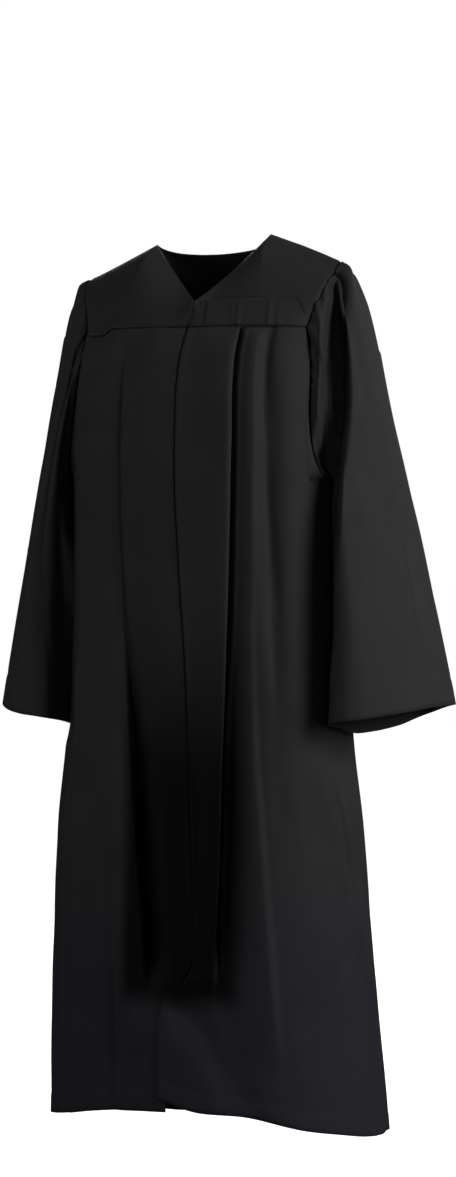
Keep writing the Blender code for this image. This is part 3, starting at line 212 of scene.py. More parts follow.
# A pressed pleat doubles under itself: how far its cloth moves along the panel and out of it,
# at distances from its edge
PleatRow = namedtuple("PleatRow", "place along out")
NARROW_PLEAT = (
    PleatRow(-0.0400, 0.0000, 0.0000), PleatRow(-0.0120, 0.0010, 0.0000),
    PleatRow(-0.0030, 0.0040, 0.0006), PleatRow(0.0000, 0.0052, 0.0002),
    PleatRow(0.0036, -0.0008, -0.0050), PleatRow(0.0072, -0.0058, -0.0090),
    PleatRow(0.0095, -0.0052, -0.0080), PleatRow(0.0120, -0.0034, -0.0016),
    PleatRow(0.0200, -0.0010, 0.0004), PleatRow(0.0400, 0.0000, 0.0000),
)
DEEP_PLEAT = (
    PleatRow(-0.0700, 0.0000, 0.0000), PleatRow(-0.0280, 0.0010, 0.0010),
    PleatRow(-0.0070, 0.0060, 0.0016), PleatRow(0.0000, 0.0065, -0.0010),
    PleatRow(0.0060, -0.0030, -0.0150), PleatRow(0.0130, -0.0200, -0.0280),
    PleatRow(0.0230, -0.0180, -0.0300), PleatRow(0.0360, -0.0080, -0.0230),
    PleatRow(0.0540, -0.0010, -0.0090), PleatRow(0.0800, 0.0000, 0.0000),
)
PressedRow = namedtuple("PressedRow", "line profile side strength z_from z_full z_fades z_to")
PRESSED = (
    PressedRow("left pleat edge", NARROW_PLEAT, 1, 1.00, -0.131, -0.139, -0.960, -1.070),
    PressedRow("left pleat edge", DEEP_PLEAT, 1, 0.22, -0.520, -0.700, -0.960, -1.080),
    PressedRow("right pleat edge", NARROW_PLEAT, -1, 0.25, -0.150, -0.200, -0.480, -0.640),
    PressedRow("right pleat edge", DEEP_PLEAT, -1, 1.00, -0.420, -0.860, -1.000, -1.085),
)

# Sleeve: one row for each station round it, 0 outside, 90 front, 180 under the arm, 270 back.
# leave is the direction in which the rib leaves the armhole, arrive the one in which it
# reaches the cuff from above, both as (out from the body, forward, down).
RibRow = namedtuple("RibRow", "turn leave_out leave_forward leave_down leave_length"
                    " arrive_out arrive_forward arrive_length cuff_z")
RIBS = (
    RibRow(0, 1.00, 0.00, 0.30, 0.052, -0.18, 0.02, 0.370, -0.675),
    RibRow(30, 0.86, 0.30, 0.45, 0.050, -0.15, -0.04, 0.330, -0.680),
    RibRow(62, 0.62, 0.55, 0.58, 0.048, -0.06, -0.07, 0.300, -0.686),
    RibRow(100, 0.45, 0.45, 0.78, 0.050, 0.02, -0.06, 0.220, -0.692),
    RibRow(140, 0.55, 0.12, 0.82, 0.045, 0.02, -0.02, 0.160, -0.702),
    RibRow(180, 0.60, 0.00, 0.80, 0.045, -0.02, 0.00, 0.150, -0.716),
    RibRow(220, 0.55, -0.14, 0.82, 0.045, -0.06, 0.04, 0.160, -0.710),
    RibRow(260, 0.50, -0.45, 0.74, 0.050, -0.10, 0.12, 0.220, -0.688),
    RibRow(298, 0.66, -0.52, 0.54, 0.052, -0.15, 0.14, 0.300, -0.678),
    RibRow(330, 0.88, -0.28, 0.42, 0.054, -0.17, 0.08, 0.340, -0.675),
    RibRow(360, 1.00, 0.00, 0.30, 0.052, -0.18, 0.02, 0.370, -0.675),
)
CAP_FULLNESS = {1: 1.00, -1: 0.58}     # the left sleeve head stands out more
CUFF_CENTRE = (0.268, 0.014)
CUFF_LONG = 0.148           # half of the cuff's long axis, mostly front to back
CUFF_SHORT = 0.062
CUFF_TURN = math.radians(13.0)         # the long axis turns in towards the front of the body
BODY_CLEARANCE = 0.006      # sleeve to body, below the armhole
CLEAR_FROM = 0.12           # reached at this share of the sleeve's length
PUSH_REACH = 0.03           # points further than this from the body are not moved
HOLLOW_DEPTH = 0.010        # the body gives way beside the arm, between two heights
HOLLOW_WIDTH = 0.075
HOLLOW_TOP = -0.34
HOLLOW_BOTTOM = -0.86
GATHER_TOP_FADE = 0.10      # shares of the sleeve's length
GATHER_END_FADE = 0.30
CALM_FROM = 0.35            # the side next to the body has softer folds
CALM_FADE = 0.40
CALM_SHARE = 0.80

GatherRow = namedtuple("GatherRow", "turn drift from_top to_end height near far")
GATHERS = (
    GatherRow(6, 2, 0.00, 0.34, 0.0050, 5.0, 7.0),
    GatherRow(18, 3, 0.00, 0.55, -0.0050, 6.0, 6.0),
    GatherRow(30, 4, 0.00, 0.42, 0.0055, 6.0, 7.0),
    GatherRow(42, 6, 0.00, 0.60, -0.0055, 6.0, 6.0),
    GatherRow(56, 22, 0.00, 1.30, 0.0070, 9.0, 8.0),
    GatherRow(76, 26, 0.00, 1.10, -0.0120, 9.0, 9.0),
    GatherRow(96, 22, 0.03, 0.95, 0.0060, 9.0, 10.0),
    GatherRow(125, 6, 0.20, 1.30, -0.0060, 12.0, 12.0),
    GatherRow(205, -4, 0.20, 1.30, -0.0050, 12.0, 12.0),
    GatherRow(240, -8, 0.05, 1.30, 0.0070, 12.0, 12.0),
    GatherRow(268, -8, 0.00, 1.30, -0.0070, 10.0, 9.0),
    GatherRow(290, -6, 0.00, 1.30, 0.0070, 9.0, 9.0),
    GatherRow(308, -4, 0.00, 0.70, -0.0050, 6.0, 6.0),
    GatherRow(322, -3, 0.00, 0.50, 0.0050, 6.0, 6.0),
    GatherRow(335, -2, 0.00, 0.60, -0.0050, 6.0, 6.0),
    GatherRow(348, 0, 0.00, 0.45, 0.0050, 6.0, 5.0),
)

# Pleated band on the left yoke
BAND_LINE = -0.093          # height of its upper edge
BAND_END_DROP = 0.024
BAND_TURN = 0.80            # the edge starts to drop here
BAND_FROM = 0.09            # as shares of the yoke's width
BAND_TO = 0.93
BandPleat = namedtuple("BandPleat", "share height width")
BAND_PLEATS = (
    BandPleat(0.27, 0.0008, 0.04),
    BandPleat(0.315, 0.0015, 0.03),
    BandPleat(0.57, 0.0017, 0.04),
    BandPleat(0.66, 0.0010, 0.05),
)

# ---------------------------------------------------------------- small helpers
def smoothstep(value):
    """0 below 0, 1 above 1, and a smooth rise between."""
    t = np.clip(value, 0.0, 1.0)
    return t * t * (3.0 - 2.0 * t)


def bell(distance, width):
    """1 at 0, falling off over a width."""
    return np.exp(-(distance / width) ** 2)


def side_bell(distance, near, far):
    """1 at 0, falling off over a width of its own on each side."""
    return bell(distance, np.where(distance < 0, near, far))


def wrapped(turn, full=360.0):
    """The same turn, between minus half a turn and half a turn."""
    return (turn + full / 2) % full - full / 2


def signed_power(value, power):
    return np.sign(value) * np.abs(value) ** power


def unit(vectors):
    return vectors / np.linalg.norm(vectors, axis=-1, keepdims=True)


def curve_through(keys, values, at):
    """Smooth curve through the rows' values, read at the given places."""
    order = np.argsort(keys)
    keys = np.asarray(keys, dtype=float)[order]
    values = np.asarray(values, dtype=float)[order]
    slopes = np.gradient(values, keys)
    at = np.clip(np.asarray(at, dtype=float), keys[0], keys[-1])
    low = np.clip(np.searchsorted(keys, at) - 1, 0, len(keys) - 2)
    span = keys[low + 1] - keys[low]
    t = (at - keys[low]) / span
    start = (1 + 2 * t) * (1 - t) ** 2 * values[low] + t * (1 - t) ** 2 * span * slopes[low]
    end = t * t * (3 - 2 * t) * values[low + 1] - t * t * (1 - t) * span * slopes[low + 1]
    return start + end


def column_of(rows, key, name, at):
    """One named column of a table, read at the given places of its key column."""
    keys = [getattr(row, key) for row in rows]
    values = [getattr(row, name) for row in rows]
    return curve_through(keys, values, at)


def bezier(start, start_handle, end_handle, end, t):
    """Cubic curve; points are (..., 3) and t has one dimension less."""
    t = np.asarray(t)[..., None]
    return ((1 - t) ** 3 * start + 3 * t * (1 - t) ** 2 * start_handle
            + 3 * t * t * (1 - t) * end_handle + t ** 3 * end)


def travelled(line):
    """Length along a line, or along each line of a grid, up to each of its points."""
    steps = np.linalg.norm(np.diff(line, axis=0), axis=-1)
    return np.concatenate([np.zeros_like(steps[:1]), np.cumsum(steps, axis=0)])


def read_line(at, keys, line):
    """Points or directions of a line, read at places between its keys."""
    return np.stack([np.interp(at, keys, line[:, k]) for k in range(3)], axis=-1)


# ---------------------------------------------------------------- body surface
def plan_at(z):
    """Half width and middle of the body's plan at a height."""
    return [column_of(RINGS, "z", name, z) for name in ("half_width", "middle_x", "middle_y")]


def plan_reach(middle_y, z, forward):
    """How far the plan reaches from its middle, forward or back."""
    front_reach = column_of(RINGS, "z", "front", z) + middle_y
    back_reach = column_of(RINGS, "z", "back", z) - middle_y
    return np.where(forward, front_reach, back_reach)


def ring(angle, z):
    """Point of the smooth body at a ring angle and a height."""
    half_width, middle_x, middle_y = plan_at(z)
    across = signed_power(np.sin(angle), 2 / RING_POWER)
    along = signed_power(np.cos(angle), 2 / RING_POWER)
    reach = plan_reach(middle_y, z, along > 0)
    return np.stack([middle_x + half_width * across, middle_y - reach * along,
                     np.broadcast_to(z, np.shape(across))], axis=-1)


def ring_angle(x, z):
    """Ring angle of a place on the front, given by its x."""
    half_width, middle_x, _ = plan_at(z)
    return np.arcsin(signed_power((x - middle_x) / half_width, RING_POWER / 2))


def ring_normal(angle, z):
    """Outward direction in plan, and metres of ring for each radian."""
    tangent = ring(angle + RING_STEP, z) - ring(angle - RING_STEP, z)
    speed = np.linalg.norm(tangent, axis=-1) / (2 * RING_STEP)
    outward = np.stack([tangent[..., 1], -tangent[..., 0], np.zeros_like(speed)], axis=-1)
    return unit(outward), speed


def fold_angle(row, z):
    """Ring angle of a fold at a height, in radians, with no jump where the ring closes."""
    turns = np.degrees(np.unwrap(np.radians([row.hem, row.waist, row.yoke])))
    return np.radians(curve_through([HEM_STATION, WAIST_STATION, YOKE_STATION], turns, z))


def fold_height(angle, z, speed):
    """Sum of all folds at a place of the body."""
    total = np.zeros(np.shape(angle))
    for row in FOLDS:
        offset = wrapped(angle - fold_angle(row, z), FULL_TURN)
        shown = smoothstep((row.z_from - z) / FOLD_TOP_FADE)
        shown = shown * smoothstep((z - row.z_to) / FOLD_END_FADE)
        total = total + row.height * shown * side_bell(offset * speed, row.near, row.far)
    return total


def body(angle, z, top):
    """Point of the folded body; folds rise from nothing below the panel's top edge."""
    outward, speed = ring_normal(angle, z)
    height = fold_height(angle, z, speed) * smoothstep((top - z) / TOP_RISE)
    height = height * smoothstep(armhole_distance(angle, z, speed) / FOLD_FREE)
    return ring(angle, z) + outward * height[..., None]


def hem_height(angle):
    return column_of(HEMS, "angle", "z", wrapped(np.degrees(angle)))


def arm_ease(rise):
    """How far the left front's armhole is moved to the arm; 0 at both ends of its rise."""
    return ARM_EASE * ARM_EASE_SHAPE * rise ** 3 * (1 - rise)


def armhole_angle(z, front, left=False):
    """Ring angle of the armhole's edge at a height; the side seam below the arm."""
    corner = FRONT_CORNER if front else BACK_CORNER
    corner_height = YOKE_SEAM if front else BACK_SEAM
    rise = np.clip((z - UNDERARM) / (corner_height - UNDERARM), 0.0, 1.0)
    power = np.where(np.logical_and(front, left), LEFT_FRONT_POWER, ARMHOLE_POWER)
    cosine = (1.0 - rise) ** (power / 2)
    towards_corner = (1.0 - cosine ** 2) ** (1 / power)
    angle = math.pi / 2 + (corner - math.pi / 2) * towards_corner
    return angle + np.where(left, arm_ease(rise), 0.0) if front else angle


def armhole_distance(angle, z, speed):
    """Metres from the armhole's edge; below the arm, from its lowest point."""
    around = np.abs(wrapped(angle, FULL_TURN))
    front_room = armhole_angle(z, True, angle > 0) - around
    back_room = around - armhole_angle(z, False)
    room = np.maximum(np.maximum(front_room, back_room), 0.0) * speed
    return np.hypot(room, np.maximum(UNDERARM - z, 0.0))


def lower_armhole(share, front, side):
    """Ring angle and height on the armhole below the yoke: share 0 at its corner, 1 under
    the arm."""
    corner = FRONT_CORNER if front else BACK_CORNER
    corner_height = YOKE_SEAM if front else BACK_SEAM
    turn = (1.0 - share) * math.pi / 2
    power = LEFT_FRONT_POWER if front and side > 0 else ARMHOLE_POWER
    towards_corner = np.sin(turn) ** (2 / power)
    rise = 1.0 - np.maximum(np.cos(turn), 0.0) ** (2 / power)
    angle = math.pi / 2 + (corner - math.pi / 2) * towards_corner
    if front and side > 0:
        angle = angle + arm_ease(rise)
    return angle, UNDERARM + (corner_height - UNDERARM) * rise


def yoke_seam_height(share, side):
    """Front yoke seam: straight on the left, with a rounded drop near the right one's end."""
    if side > 0:
        return np.full(np.shape(share), YOKE_SEAM)
    comes = smoothstep((share - YOKE_DIP_FROM) / (YOKE_DIP_FULL - YOKE_DIP_FROM))
    goes = smoothstep((share - YOKE_DIP_BACK) / (1 - YOKE_DIP_BACK))
    return YOKE_SEAM - YOKE_DIP * comes * (1 - goes)


def zip_x(z):
    return column_of(ZIP_LINE, "z", "x", z)


def front_edge_angle(z, side):
    """Ring angle of a front's edge beside the zip."""
    return ring_angle(zip_x(z) + side * ZIP_GAP / 2, z)


def yoke_curve(top, angle, seam_z, down, leave, handle, side, reach):
    """Line from a yoke's top edge to its seam, where it runs on into the panel below."""
    lean = smoothstep(reach * 2)[..., None]
    seam = ring(angle, seam_z)
    top_way = unit(np.array(leave.neck) * (1 - lean) + np.array(leave.shoulder) * lean)
    seam_way = unit(ring(angle, seam_z - SEAM_STEP) - seam)
    length = np.linalg.norm(seam - top, axis=-1)[..., None]
    bulge = np.stack([side * YOKE_BULGE * reach ** BULGE_POWER, 0 * reach, 0 * reach], axis=-1)
    return bezier(top, top + top_way * length * handle,
                  seam - seam_way * length * YOKE_HANDLE + bulge, seam, down)


def front_yoke_rib(share, down, side):
    """Point of a front yoke: share 0 at the zip, 0.5 at the neck point and 1 at the armhole,
    down 0 at the neck or shoulder and 1 at the seam."""
    share, down = np.broadcast_arrays(share, down)
    neck = np.clip(share * 2, 0, 1)
    outer = np.clip(share * 2 - 1, 0, 1)
    v_x = side * NECK_FRONT[0] + ZIP_GAP / 2
    top_x = v_x + (NECK_X - v_x) * neck + (SHOULDER[0] - NECK_X) * outer
    top_y = NECK_FRONT[1] * (1 - neck) + SHOULDER[1] * outer - SEAM_GAP / 2
    top_z = NECK_FRONT[2] * (1 - neck ** NECK_SLOPE) + SHOULDER[2] * outer
    top = np.stack([side * top_x, top_y, top_z], axis=-1)
    seam_z = yoke_seam_height(share, side)
    edge_angle = front_edge_angle(seam_z, side)
    angle = edge_angle + (side * FRONT_CORNER - edge_angle) * share
    return yoke_curve(top, angle, seam_z, down, FRONT_LEAVE, YOKE_HANDLE, side, share)


def back_yoke_rib(share, down):
    """Point of the back yoke: share -1 at the right armhole and +1 at the left."""
    share, down = np.broadcast_arrays(share, down)
    side = np.where(share < 0, -1.0, 1.0)
    reach = np.abs(share)
    neck = np.clip(reach * 2, 0, 1)
    outer = np.clip(reach * 2 - 1, 0, 1)
    round_neck = np.sqrt(np.maximum(1 - neck ** NECK_ROUND, 0))
    top_x = NECK_X * neck + (SHOULDER[0] - NECK_X) * outer
    top_y = NECK_BACK[1] * round_neck + SHOULDER[1] * outer + SEAM_GAP / 2
    top_z = NECK_BACK[2] * round_neck + SHOULDER[2] * outer
    top = np.stack([side * top_x, top_y, top_z], axis=-1)
    angle = math.pi - side * (math.pi - BACK_CORNER) * reach
    return yoke_curve(top, angle, BACK_SEAM, down, BACK_LEAVE, BACK_HANDLE, side, reach)


def track_angle(name, z, side):
    """Ring angle of a column track at the given heights; side 0 is the back."""
    if name == "zip":
        return front_edge_angle(z, side)
    if name == "corner":
        return np.full(np.shape(z), side * FRONT_CORNER if side else BACK_CORNER)
    if name == "far corner":
        return np.full(np.shape(z), FULL_TURN - BACK_CORNER)
    row = next(fold for fold in FOLDS + GUIDES if fold.name == name)
    angle = fold_angle(row, z)
    return angle if side else angle % FULL_TURN


def part_angle(here, there, part, side, z):
    """Ring angle of a column at the given heights."""
    return (1 - part) * track_angle(here, z, side) + part * track_angle(there, z, side)


def seam_share(angle, side):
    """How far along the yoke seam a ring angle lies."""
    edge = front_edge_angle(YOKE_SEAM, side)
    return (angle - edge) / (side * FRONT_CORNER - edge)


def cuff_point(turn, side):
    """Point of the cuff's edge at a station in radians."""
    short = CUFF_SHORT * np.cos(turn)
    long = CUFF_LONG * np.sin(turn)
    x = CUFF_CENTRE[0] + short * math.cos(CUFF_TURN) - long * math.sin(CUFF_TURN)
    y = CUFF_CENTRE[1] - short * math.sin(CUFF_TURN) - long * math.cos(CUFF_TURN)
    z = column_of(RIBS, "turn", "cuff_z", np.degrees(turn))
    return np.stack([side * x, y, z], axis=-1)


def keep_clear(points, clearance):
    """Moves sleeve points out until they clear the body by the given distance."""
    z = points[..., 2]
    half_width, middle_x, middle_y = plan_at(z)
    side = np.sign(points[..., 0])
    ahead = middle_y - points[..., 1]
    reach = plan_reach(middle_y, z, ahead > 0) + clearance
    inside = np.clip(1 - np.abs(ahead / reach) ** RING_POWER, 0, 1) ** (1 / RING_POWER)
    hollow = HOLLOW_DEPTH * bell(ahead, HOLLOW_WIDTH)
    hollow = hollow * smoothstep((HOLLOW_TOP - z) / FOLD_TOP_FADE)
    hollow = hollow * smoothstep((z - HOLLOW_BOTTOM) / FOLD_END_FADE)
    limit = (half_width + clearance - hollow) * inside + side * middle_x
    lack = limit - side * points[..., 0]
    push = BODY_CLEARANCE * np.logaddexp(0, lack / BODY_CLEARANCE)
    push = np.where(lack > -PUSH_REACH, push, 0) * smoothstep(clearance / BODY_CLEARANCE)
    moved = points.copy()
    moved[..., 0] += side * push
    return moved


def tilted(points):
    """The shoulders' tilt: the left one up, the right one down."""
    points = np.array(points, dtype=float)
    share = smoothstep((points[..., 2] + TILT_DEPTH) / TILT_DEPTH)
    points[..., 2] += SHOULDER_TILT * points[..., 0] * share
    return points


# ---------------------------------------------------------------- finer cloth
SHELL = 0.0009              # cloth of a fine piece, folded edges included
EDGE_ROUND = 0.35           # its edges round out by this share of that
ARM_COLUMNS = 40            # columns that start at an armhole
PANEL_FINE_ROWS = 190
ROW_BUNCHING = 1.18         # more rows near a panel's top
YOKE_FINE_ROWS = 34
YOKE_FINE_COLUMNS = 80
LEFT_YOKE_FINE_ROWS = 96
SLEEVE_FINE_ROWS = {1: 172, -1: 120}
SLEEVE_FINE_COLUMNS = 260
SLEEVE_BUNCHING = 1.1       # more rows near the armhole
SEAM_DIP = 0.0013           # cloth sinks towards a seam
SEAM_DIP_WIDTH = 0.0032
SIDE_DIP = 0.6              # share of that at the side seams; it comes over the fade
SIDE_DIP_FADE = 0.01        # below the arm
YOKE_EDGE_LIFT = 0.0007     # the yokes' lower edges lie proud of the panels
YOKE_EDGE_WIDTH = 0.007
GROOVE_DEPTH = 0.0016       # the yoke sinks along the band's upper edge
GROOVE_WIDTH = 0.0022
GROOVE_RISE = 0.6           # as a share of that width, above the edge
GROOVE_FADE = 0.03          # share of the yoke's width
TURNING = 0.005             # seam allowance behind the neighbouring piece
TURNING_DEPTH = 0.0014
TURNING_ROWS = ((1.15, 1.0), (1.0, 0.2), (0.4, 0.0))    # shares of its depth and of its width
HEM_DEPTH = 0.028           # the hem is turned up by this much
HEM_STEP = 0.0005           # and stands this proud, which comes up over the width
HEM_STEP_WIDTH = 0.003
HEM_LINE = 0.0005           # depth and width of its sewing line
HEM_LINE_WIDTH = 0.0025
PLACKET = 0.016             # cloth beside the zip that its sewing draws in
PLACKET_MIDDLE, PLACKET_SPREAD, PLACKET_LINE = 0.3, 0.55, 0.5       # shares of it
PLACKET_DEPTH = 0.0006
PLACKET_LINE_WIDTH = 0.0022
PLACKET_FADE = 0.05
PUCKER = 0.0003
PUCKER_PITCH = 0.024
PUCKER_SWAY, PUCKER_SWAY_PACE = 1.7, 31     # the puckers come at an uneven pace
LEFT_EDGE_LIFT = 0.0012     # the left front stands over the zip
LEFT_EDGE_WIDTH = 0.006
BAND_COLUMNS, BAND_ROWS = 90, 15
BAND_DENSE_ROWS = 60        # rows of the yoke that the band's are read from
BAND_LAST_ROW = 58.6        # it ends at this one
BAND_PROUD = 0.0004
BAND_PLEAT_RISE, BAND_PLEAT_NEAR, BAND_PLEAT_FAR = 1.3, 0.25, 0.9   # shares of height and width
YOKE_WAVES = 0.4            # share of the cloth's unevenness on the yokes
DEGREE = 0.0034             # metres of body for each degree of ring
STATION_DEGREE = 0.0019     # metres of sleeve for each degree of station
SLEEVE_LENGTH = 0.62

# A crease runs between two places, bowed sideways, and fades to both ends.  Places on the body
# are a ring angle in degrees and a height; on a sleeve a station and a share of its length.
CreaseRow = namedtuple("CreaseRow", "across down across_to down_to bow height near far")
FRONT_CREASES = (
    CreaseRow(37.4, -0.134, 37.0, -0.260, 0.000, -0.0034, 0.0040, 0.0060),
    CreaseRow(28.0, -0.300, 33.0, -0.760, -0.002, 0.0024, 0.0100, 0.0070),
    CreaseRow(34.5, -0.290, 43.5, -0.620, 0.002, -0.0024, 0.0080, 0.0090),
    CreaseRow(34.0, -0.640, 36.5, -0.990, 0.004, 0.0024, 0.0140, 0.0100),
    CreaseRow(71.0, -0.735, 93.0, -1.010, 0.005, 0.0046, 0.0080, 0.0045),
    CreaseRow(89.0, -0.735, 97.0, -0.880, 0.002, 0.0030, 0.0070, 0.0050),
    CreaseRow(7.0, -1.050, 23.0, -1.215, -0.006, -0.0034, 0.0200, 0.0160),
    CreaseRow(-21.4, -1.030, -19.4, -1.240, 0.000, -0.0030, 0.0060, 0.0030),
    CreaseRow(-10.0, -1.150, -12.0, -1.235, 0.003, -0.0020, 0.0100, 0.0120),
    CreaseRow(-60.0, -0.700, -57.0, -1.250, 0.003, 0.0040, 0.0120, 0.0100),
    CreaseRow(-52.0, -0.135, -56.0, -0.260, 0.003, 0.0024, 0.0070, 0.0090),
    CreaseRow(-32.0, -0.780, -35.0, -1.010, 0.008, 0.0016, 0.0160, 0.0180),
    CreaseRow(-9.0, -0.135, -10.0, -0.330, -0.002, 0.0008, 0.0100, 0.0120),
    CreaseRow(12.0, -0.560, 9.0, -0.900, 0.004, -0.0018, 0.0160, 0.0180),
)
BACK_CREASES = (
    CreaseRow(126.0, -0.170, 127.0, -0.420, 0.003, 0.0020, 0.006, 0.007),
    CreaseRow(133.0, -0.170, 132.0, -0.350, 0.002, -0.0022, 0.005, 0.007),
    CreaseRow(143.0, -0.170, 142.0, -0.480, 0.002, 0.0024, 0.006, 0.006),
    CreaseRow(152.5, -0.170, 153.0, -0.390, 0.003, -0.0020, 0.005, 0.006),
    CreaseRow(163.0, -0.170, 163.0, -0.540, 0.002, 0.0022, 0.006, 0.008),
    CreaseRow(173.5, -0.170, 174.0, -0.360, 0.002, -0.0024, 0.006, 0.006),
    CreaseRow(187.0, -0.170, 186.0, -0.460, 0.002, 0.0022, 0.006, 0.007),
    CreaseRow(197.0, -0.170, 198.0, -0.400, 0.003, -0.0022, 0.006, 0.006),
    CreaseRow(207.5, -0.170, 208.0, -0.500, 0.002, 0.0024, 0.006, 0.008),
    CreaseRow(217.0, -0.170, 218.0, -0.380, 0.002, -0.0020, 0.005, 0.006),
    CreaseRow(228.0, -0.170, 230.0, -0.440, 0.003, 0.0022, 0.006, 0.007),
    CreaseRow(141.0, -0.620, 150.0, -1.060, 0.010, -0.0026, 0.014, 0.018),
    CreaseRow(170.0, -0.520, 163.0, -0.900, 0.008, 0.0022, 0.014, 0.016),
    CreaseRow(196.0, -0.700, 206.0, -1.150, 0.012, -0.0026, 0.016, 0.018),
    CreaseRow(226.0, -0.560, 214.0, -0.960, -0.010, 0.0024, 0.014, 0.018),
)
SLEEVE_CREASES = (
    CreaseRow(30.0, 0.30, 46.0, 0.72, 0.012, 0.0014, 0.018, 0.024),
    CreaseRow(14.0, 0.44, 28.0, 0.88, -0.010, -0.0014, 0.020, 0.022),
    CreaseRow(352.0, 0.40, 340.0, 0.84, 0.010, 0.0022, 0.016, 0.020),
    CreaseRow(330.0, 0.26, 322.0, 0.62, -0.008, -0.0024, 0.012, 0.018),
    CreaseRow(306.0, 0.44, 300.0, 0.90, 0.008, 0.0026, 0.014, 0.018),
    CreaseRow(280.0, 0.30, 270.0, 0.76, 0.010, -0.0024, 0.014, 0.016),
    CreaseRow(346.0, 0.00, 348.0, 0.26, 0.003, -0.0024, 0.005, 0.006),
    CreaseRow(337.0, 0.00, 336.0, 0.20, 0.003, 0.0020, 0.005, 0.006),
    CreaseRow(328.0, 0.00, 326.0, 0.30, 0.003, 0.0024, 0.006, 0.008),
    CreaseRow(312.0, 0.00, 312.0, 0.22, 0.002, -0.0024, 0.005, 0.007),
    CreaseRow(300.0, 0.00, 298.0, 0.18, 0.002, 0.0022, 0.005, 0.006),
)
# On the left sleeve a deep fold runs down from the front of its head, beside a narrow roll
LEFT_SLEEVE_CREASES = (
    CreaseRow(22.0, 0.00, 34.0, 0.34, -0.008, 0.0030, 0.0040, 0.0050),
    CreaseRow(4.0, 0.00, 24.0, 0.36, -0.006, 0.0034, 0.0060, 0.0080),
    CreaseRow(355.0, 0.00, 367.0, 0.36, -0.004, -0.0036, 0.0060, 0.0090),
)
RIGHT_SLEEVE_CREASES = (
    CreaseRow(62.0, 0.00, 84.0, 0.30, 0.006, -0.0030, 0.0060, 0.0080),
    CreaseRow(44.0, 0.00, 58.0, 0.24, 0.004, 0.0020, 0.0060, 0.0080),
    CreaseRow(74.0, 0.62, 92.0, 0.94, -0.008, 0.0018, 0.0080, 0.0110),
    CreaseRow(96.0, 0.70, 122.0, 0.99, 0.008, -0.0020, 0.0080, 0.0110),
    CreaseRow(50.0, 0.74, 120.0, 0.99, 0.020, 0.0018, 0.0090, 0.0120),
)
FOLD_SHARES = {1: 0.1, -1: 0.35}       # the sleeves hang smoother in front than their solids
SOFT_STATIONS = (40, 130)              # between these stations

# A fold that bends: its path through stations and shares, and how far it rises or sinks there
PathRow = namedtuple("PathRow", "path depths near far")
LEFT_SLEEVE_PATHS = (
    PathRow(((15, -0.02), (15.5, 0.13), (22, 0.21), (32, 0.295), (40, 0.36)),
            (-0.008, -0.008, -0.007, -0.005, 0.0), 0.0045, 0.0050),
    PathRow(((40, -0.02), (47, 0.10), (60, 0.19), (80, 0.26), (98, 0.32), (112, 0.42)),
            (0.003, 0.004, 0.004, 0.004, 0.003, 0.0), 0.0060, 0.0070),
)
# The deep fold of the left sleeve, beside the body: where it opens, across the direction of the
# camera, at each height.  It goes its own way, not along the cloth's normals.
GapRow = namedtuple("GapRow", "z left right")
LEFT_GAP = (
    GapRow(-0.050, 0.166, 0.168), GapRow(-0.070, 0.166, 0.170), GapRow(-0.092, 0.166, 0.176),
    GapRow(-0.120, 0.160, 0.181), GapRow(-0.149, 0.156, 0.185), GapRow(-0.206, 0.152, 0.187),
    GapRow(-0.249, 0.149, 0.187), GapRow(-0.292, 0.146, 0.182), GapRow(-0.350, 0.138, 0.176),
    GapRow(-0.407, 0.136, 0.172), GapRow(-0.465, 0.133, 0.169), GapRow(-0.522, 0.131, 0.167),
    GapRow(-0.580, 0.129, 0.165), GapRow(-0.651, 0.128, 0.155), GapRow(-0.720, 0.127, 0.140),
)
GAP_DEPTH = 0.048
GAP_WAY = (-0.24, 1.0, 0.0)             # it goes back and a little in towards the body
GAP_SOFT_LEFT = 0.011       # softness of its two sides
GAP_SOFT_RIGHT = 0.012
GAP_STATIONS = (8.0, 20.0, 150.0, 175.0)     # of the sleeve's ring, where it comes and goes
GAP_OPENS = 0.05            # share of the sleeve over which it opens
GAP_SMOOTHING = 10
ARMHOLE_SOFT = math.radians(12.0)       # softness of the armhole's edge beside it

# Puckers of the sleeve head: how many in a turn, their uneven pace, and where they are
HEAD_PUCKER = 0.0011
HEAD_PUCKER_COUNT = 31
HEAD_SWAY, HEAD_SWAY_COUNT = 1.9, 7
HEAD_PUCKER_AT, HEAD_PUCKER_WIDTH = 0.012, 0.030
HEAD_PUCKER_COSINE = -0.1   # not under the arm

# Soft unevenness of the cloth: waves of a size across and down, each with its own turn
WaveRow = namedtuple("WaveRow", "across down lean height phase")
CLOTH_WAVES = (
    WaveRow(0.083, 0.53, 0.05, 0.00034, 0.4),
    WaveRow(0.051, 0.37, -0.07, 0.00020, 2.1),
    WaveRow(0.127, 0.31, 0.11, 0.00050, 4.0),
    WaveRow(0.037, 0.19, 0.04, 0.00010, 1.2),
    WaveRow(0.190, 0.23, -0.16, 0.00050, 5.3),
)
WAVE_BEND = 9.0             # radians of sway for each metre down
WAVE_SECOND = 0.37          # pace of the wave that breaks up the first

CREASE_OPEN_ABOVE = -0.175  # a crease from a yoke seam starts full, and so do the sleeves'
CREASE_COMES = 0.3          # shares of a crease's length over which it comes and goes
CREASE_GOES = 0.5
CREASE_BEFORE = 0.05        # it reaches this far before its start
PATH_POINTS = 90            # of a bending fold's line


def wave_height(across, down):
    """Soft unevenness at places in metres."""
    total = np.zeros(np.shape(across))
    for row in CLOTH_WAVES:
        bend = row.lean * np.sin(down * WAVE_BEND)
        phase = FULL_TURN * (across / row.across + down / row.down + bend)
        broken = np.sin(phase * WAVE_SECOND + row.phase * 2)
        total = total + row.height * np.sin(phase + row.phase) * broken
    return total


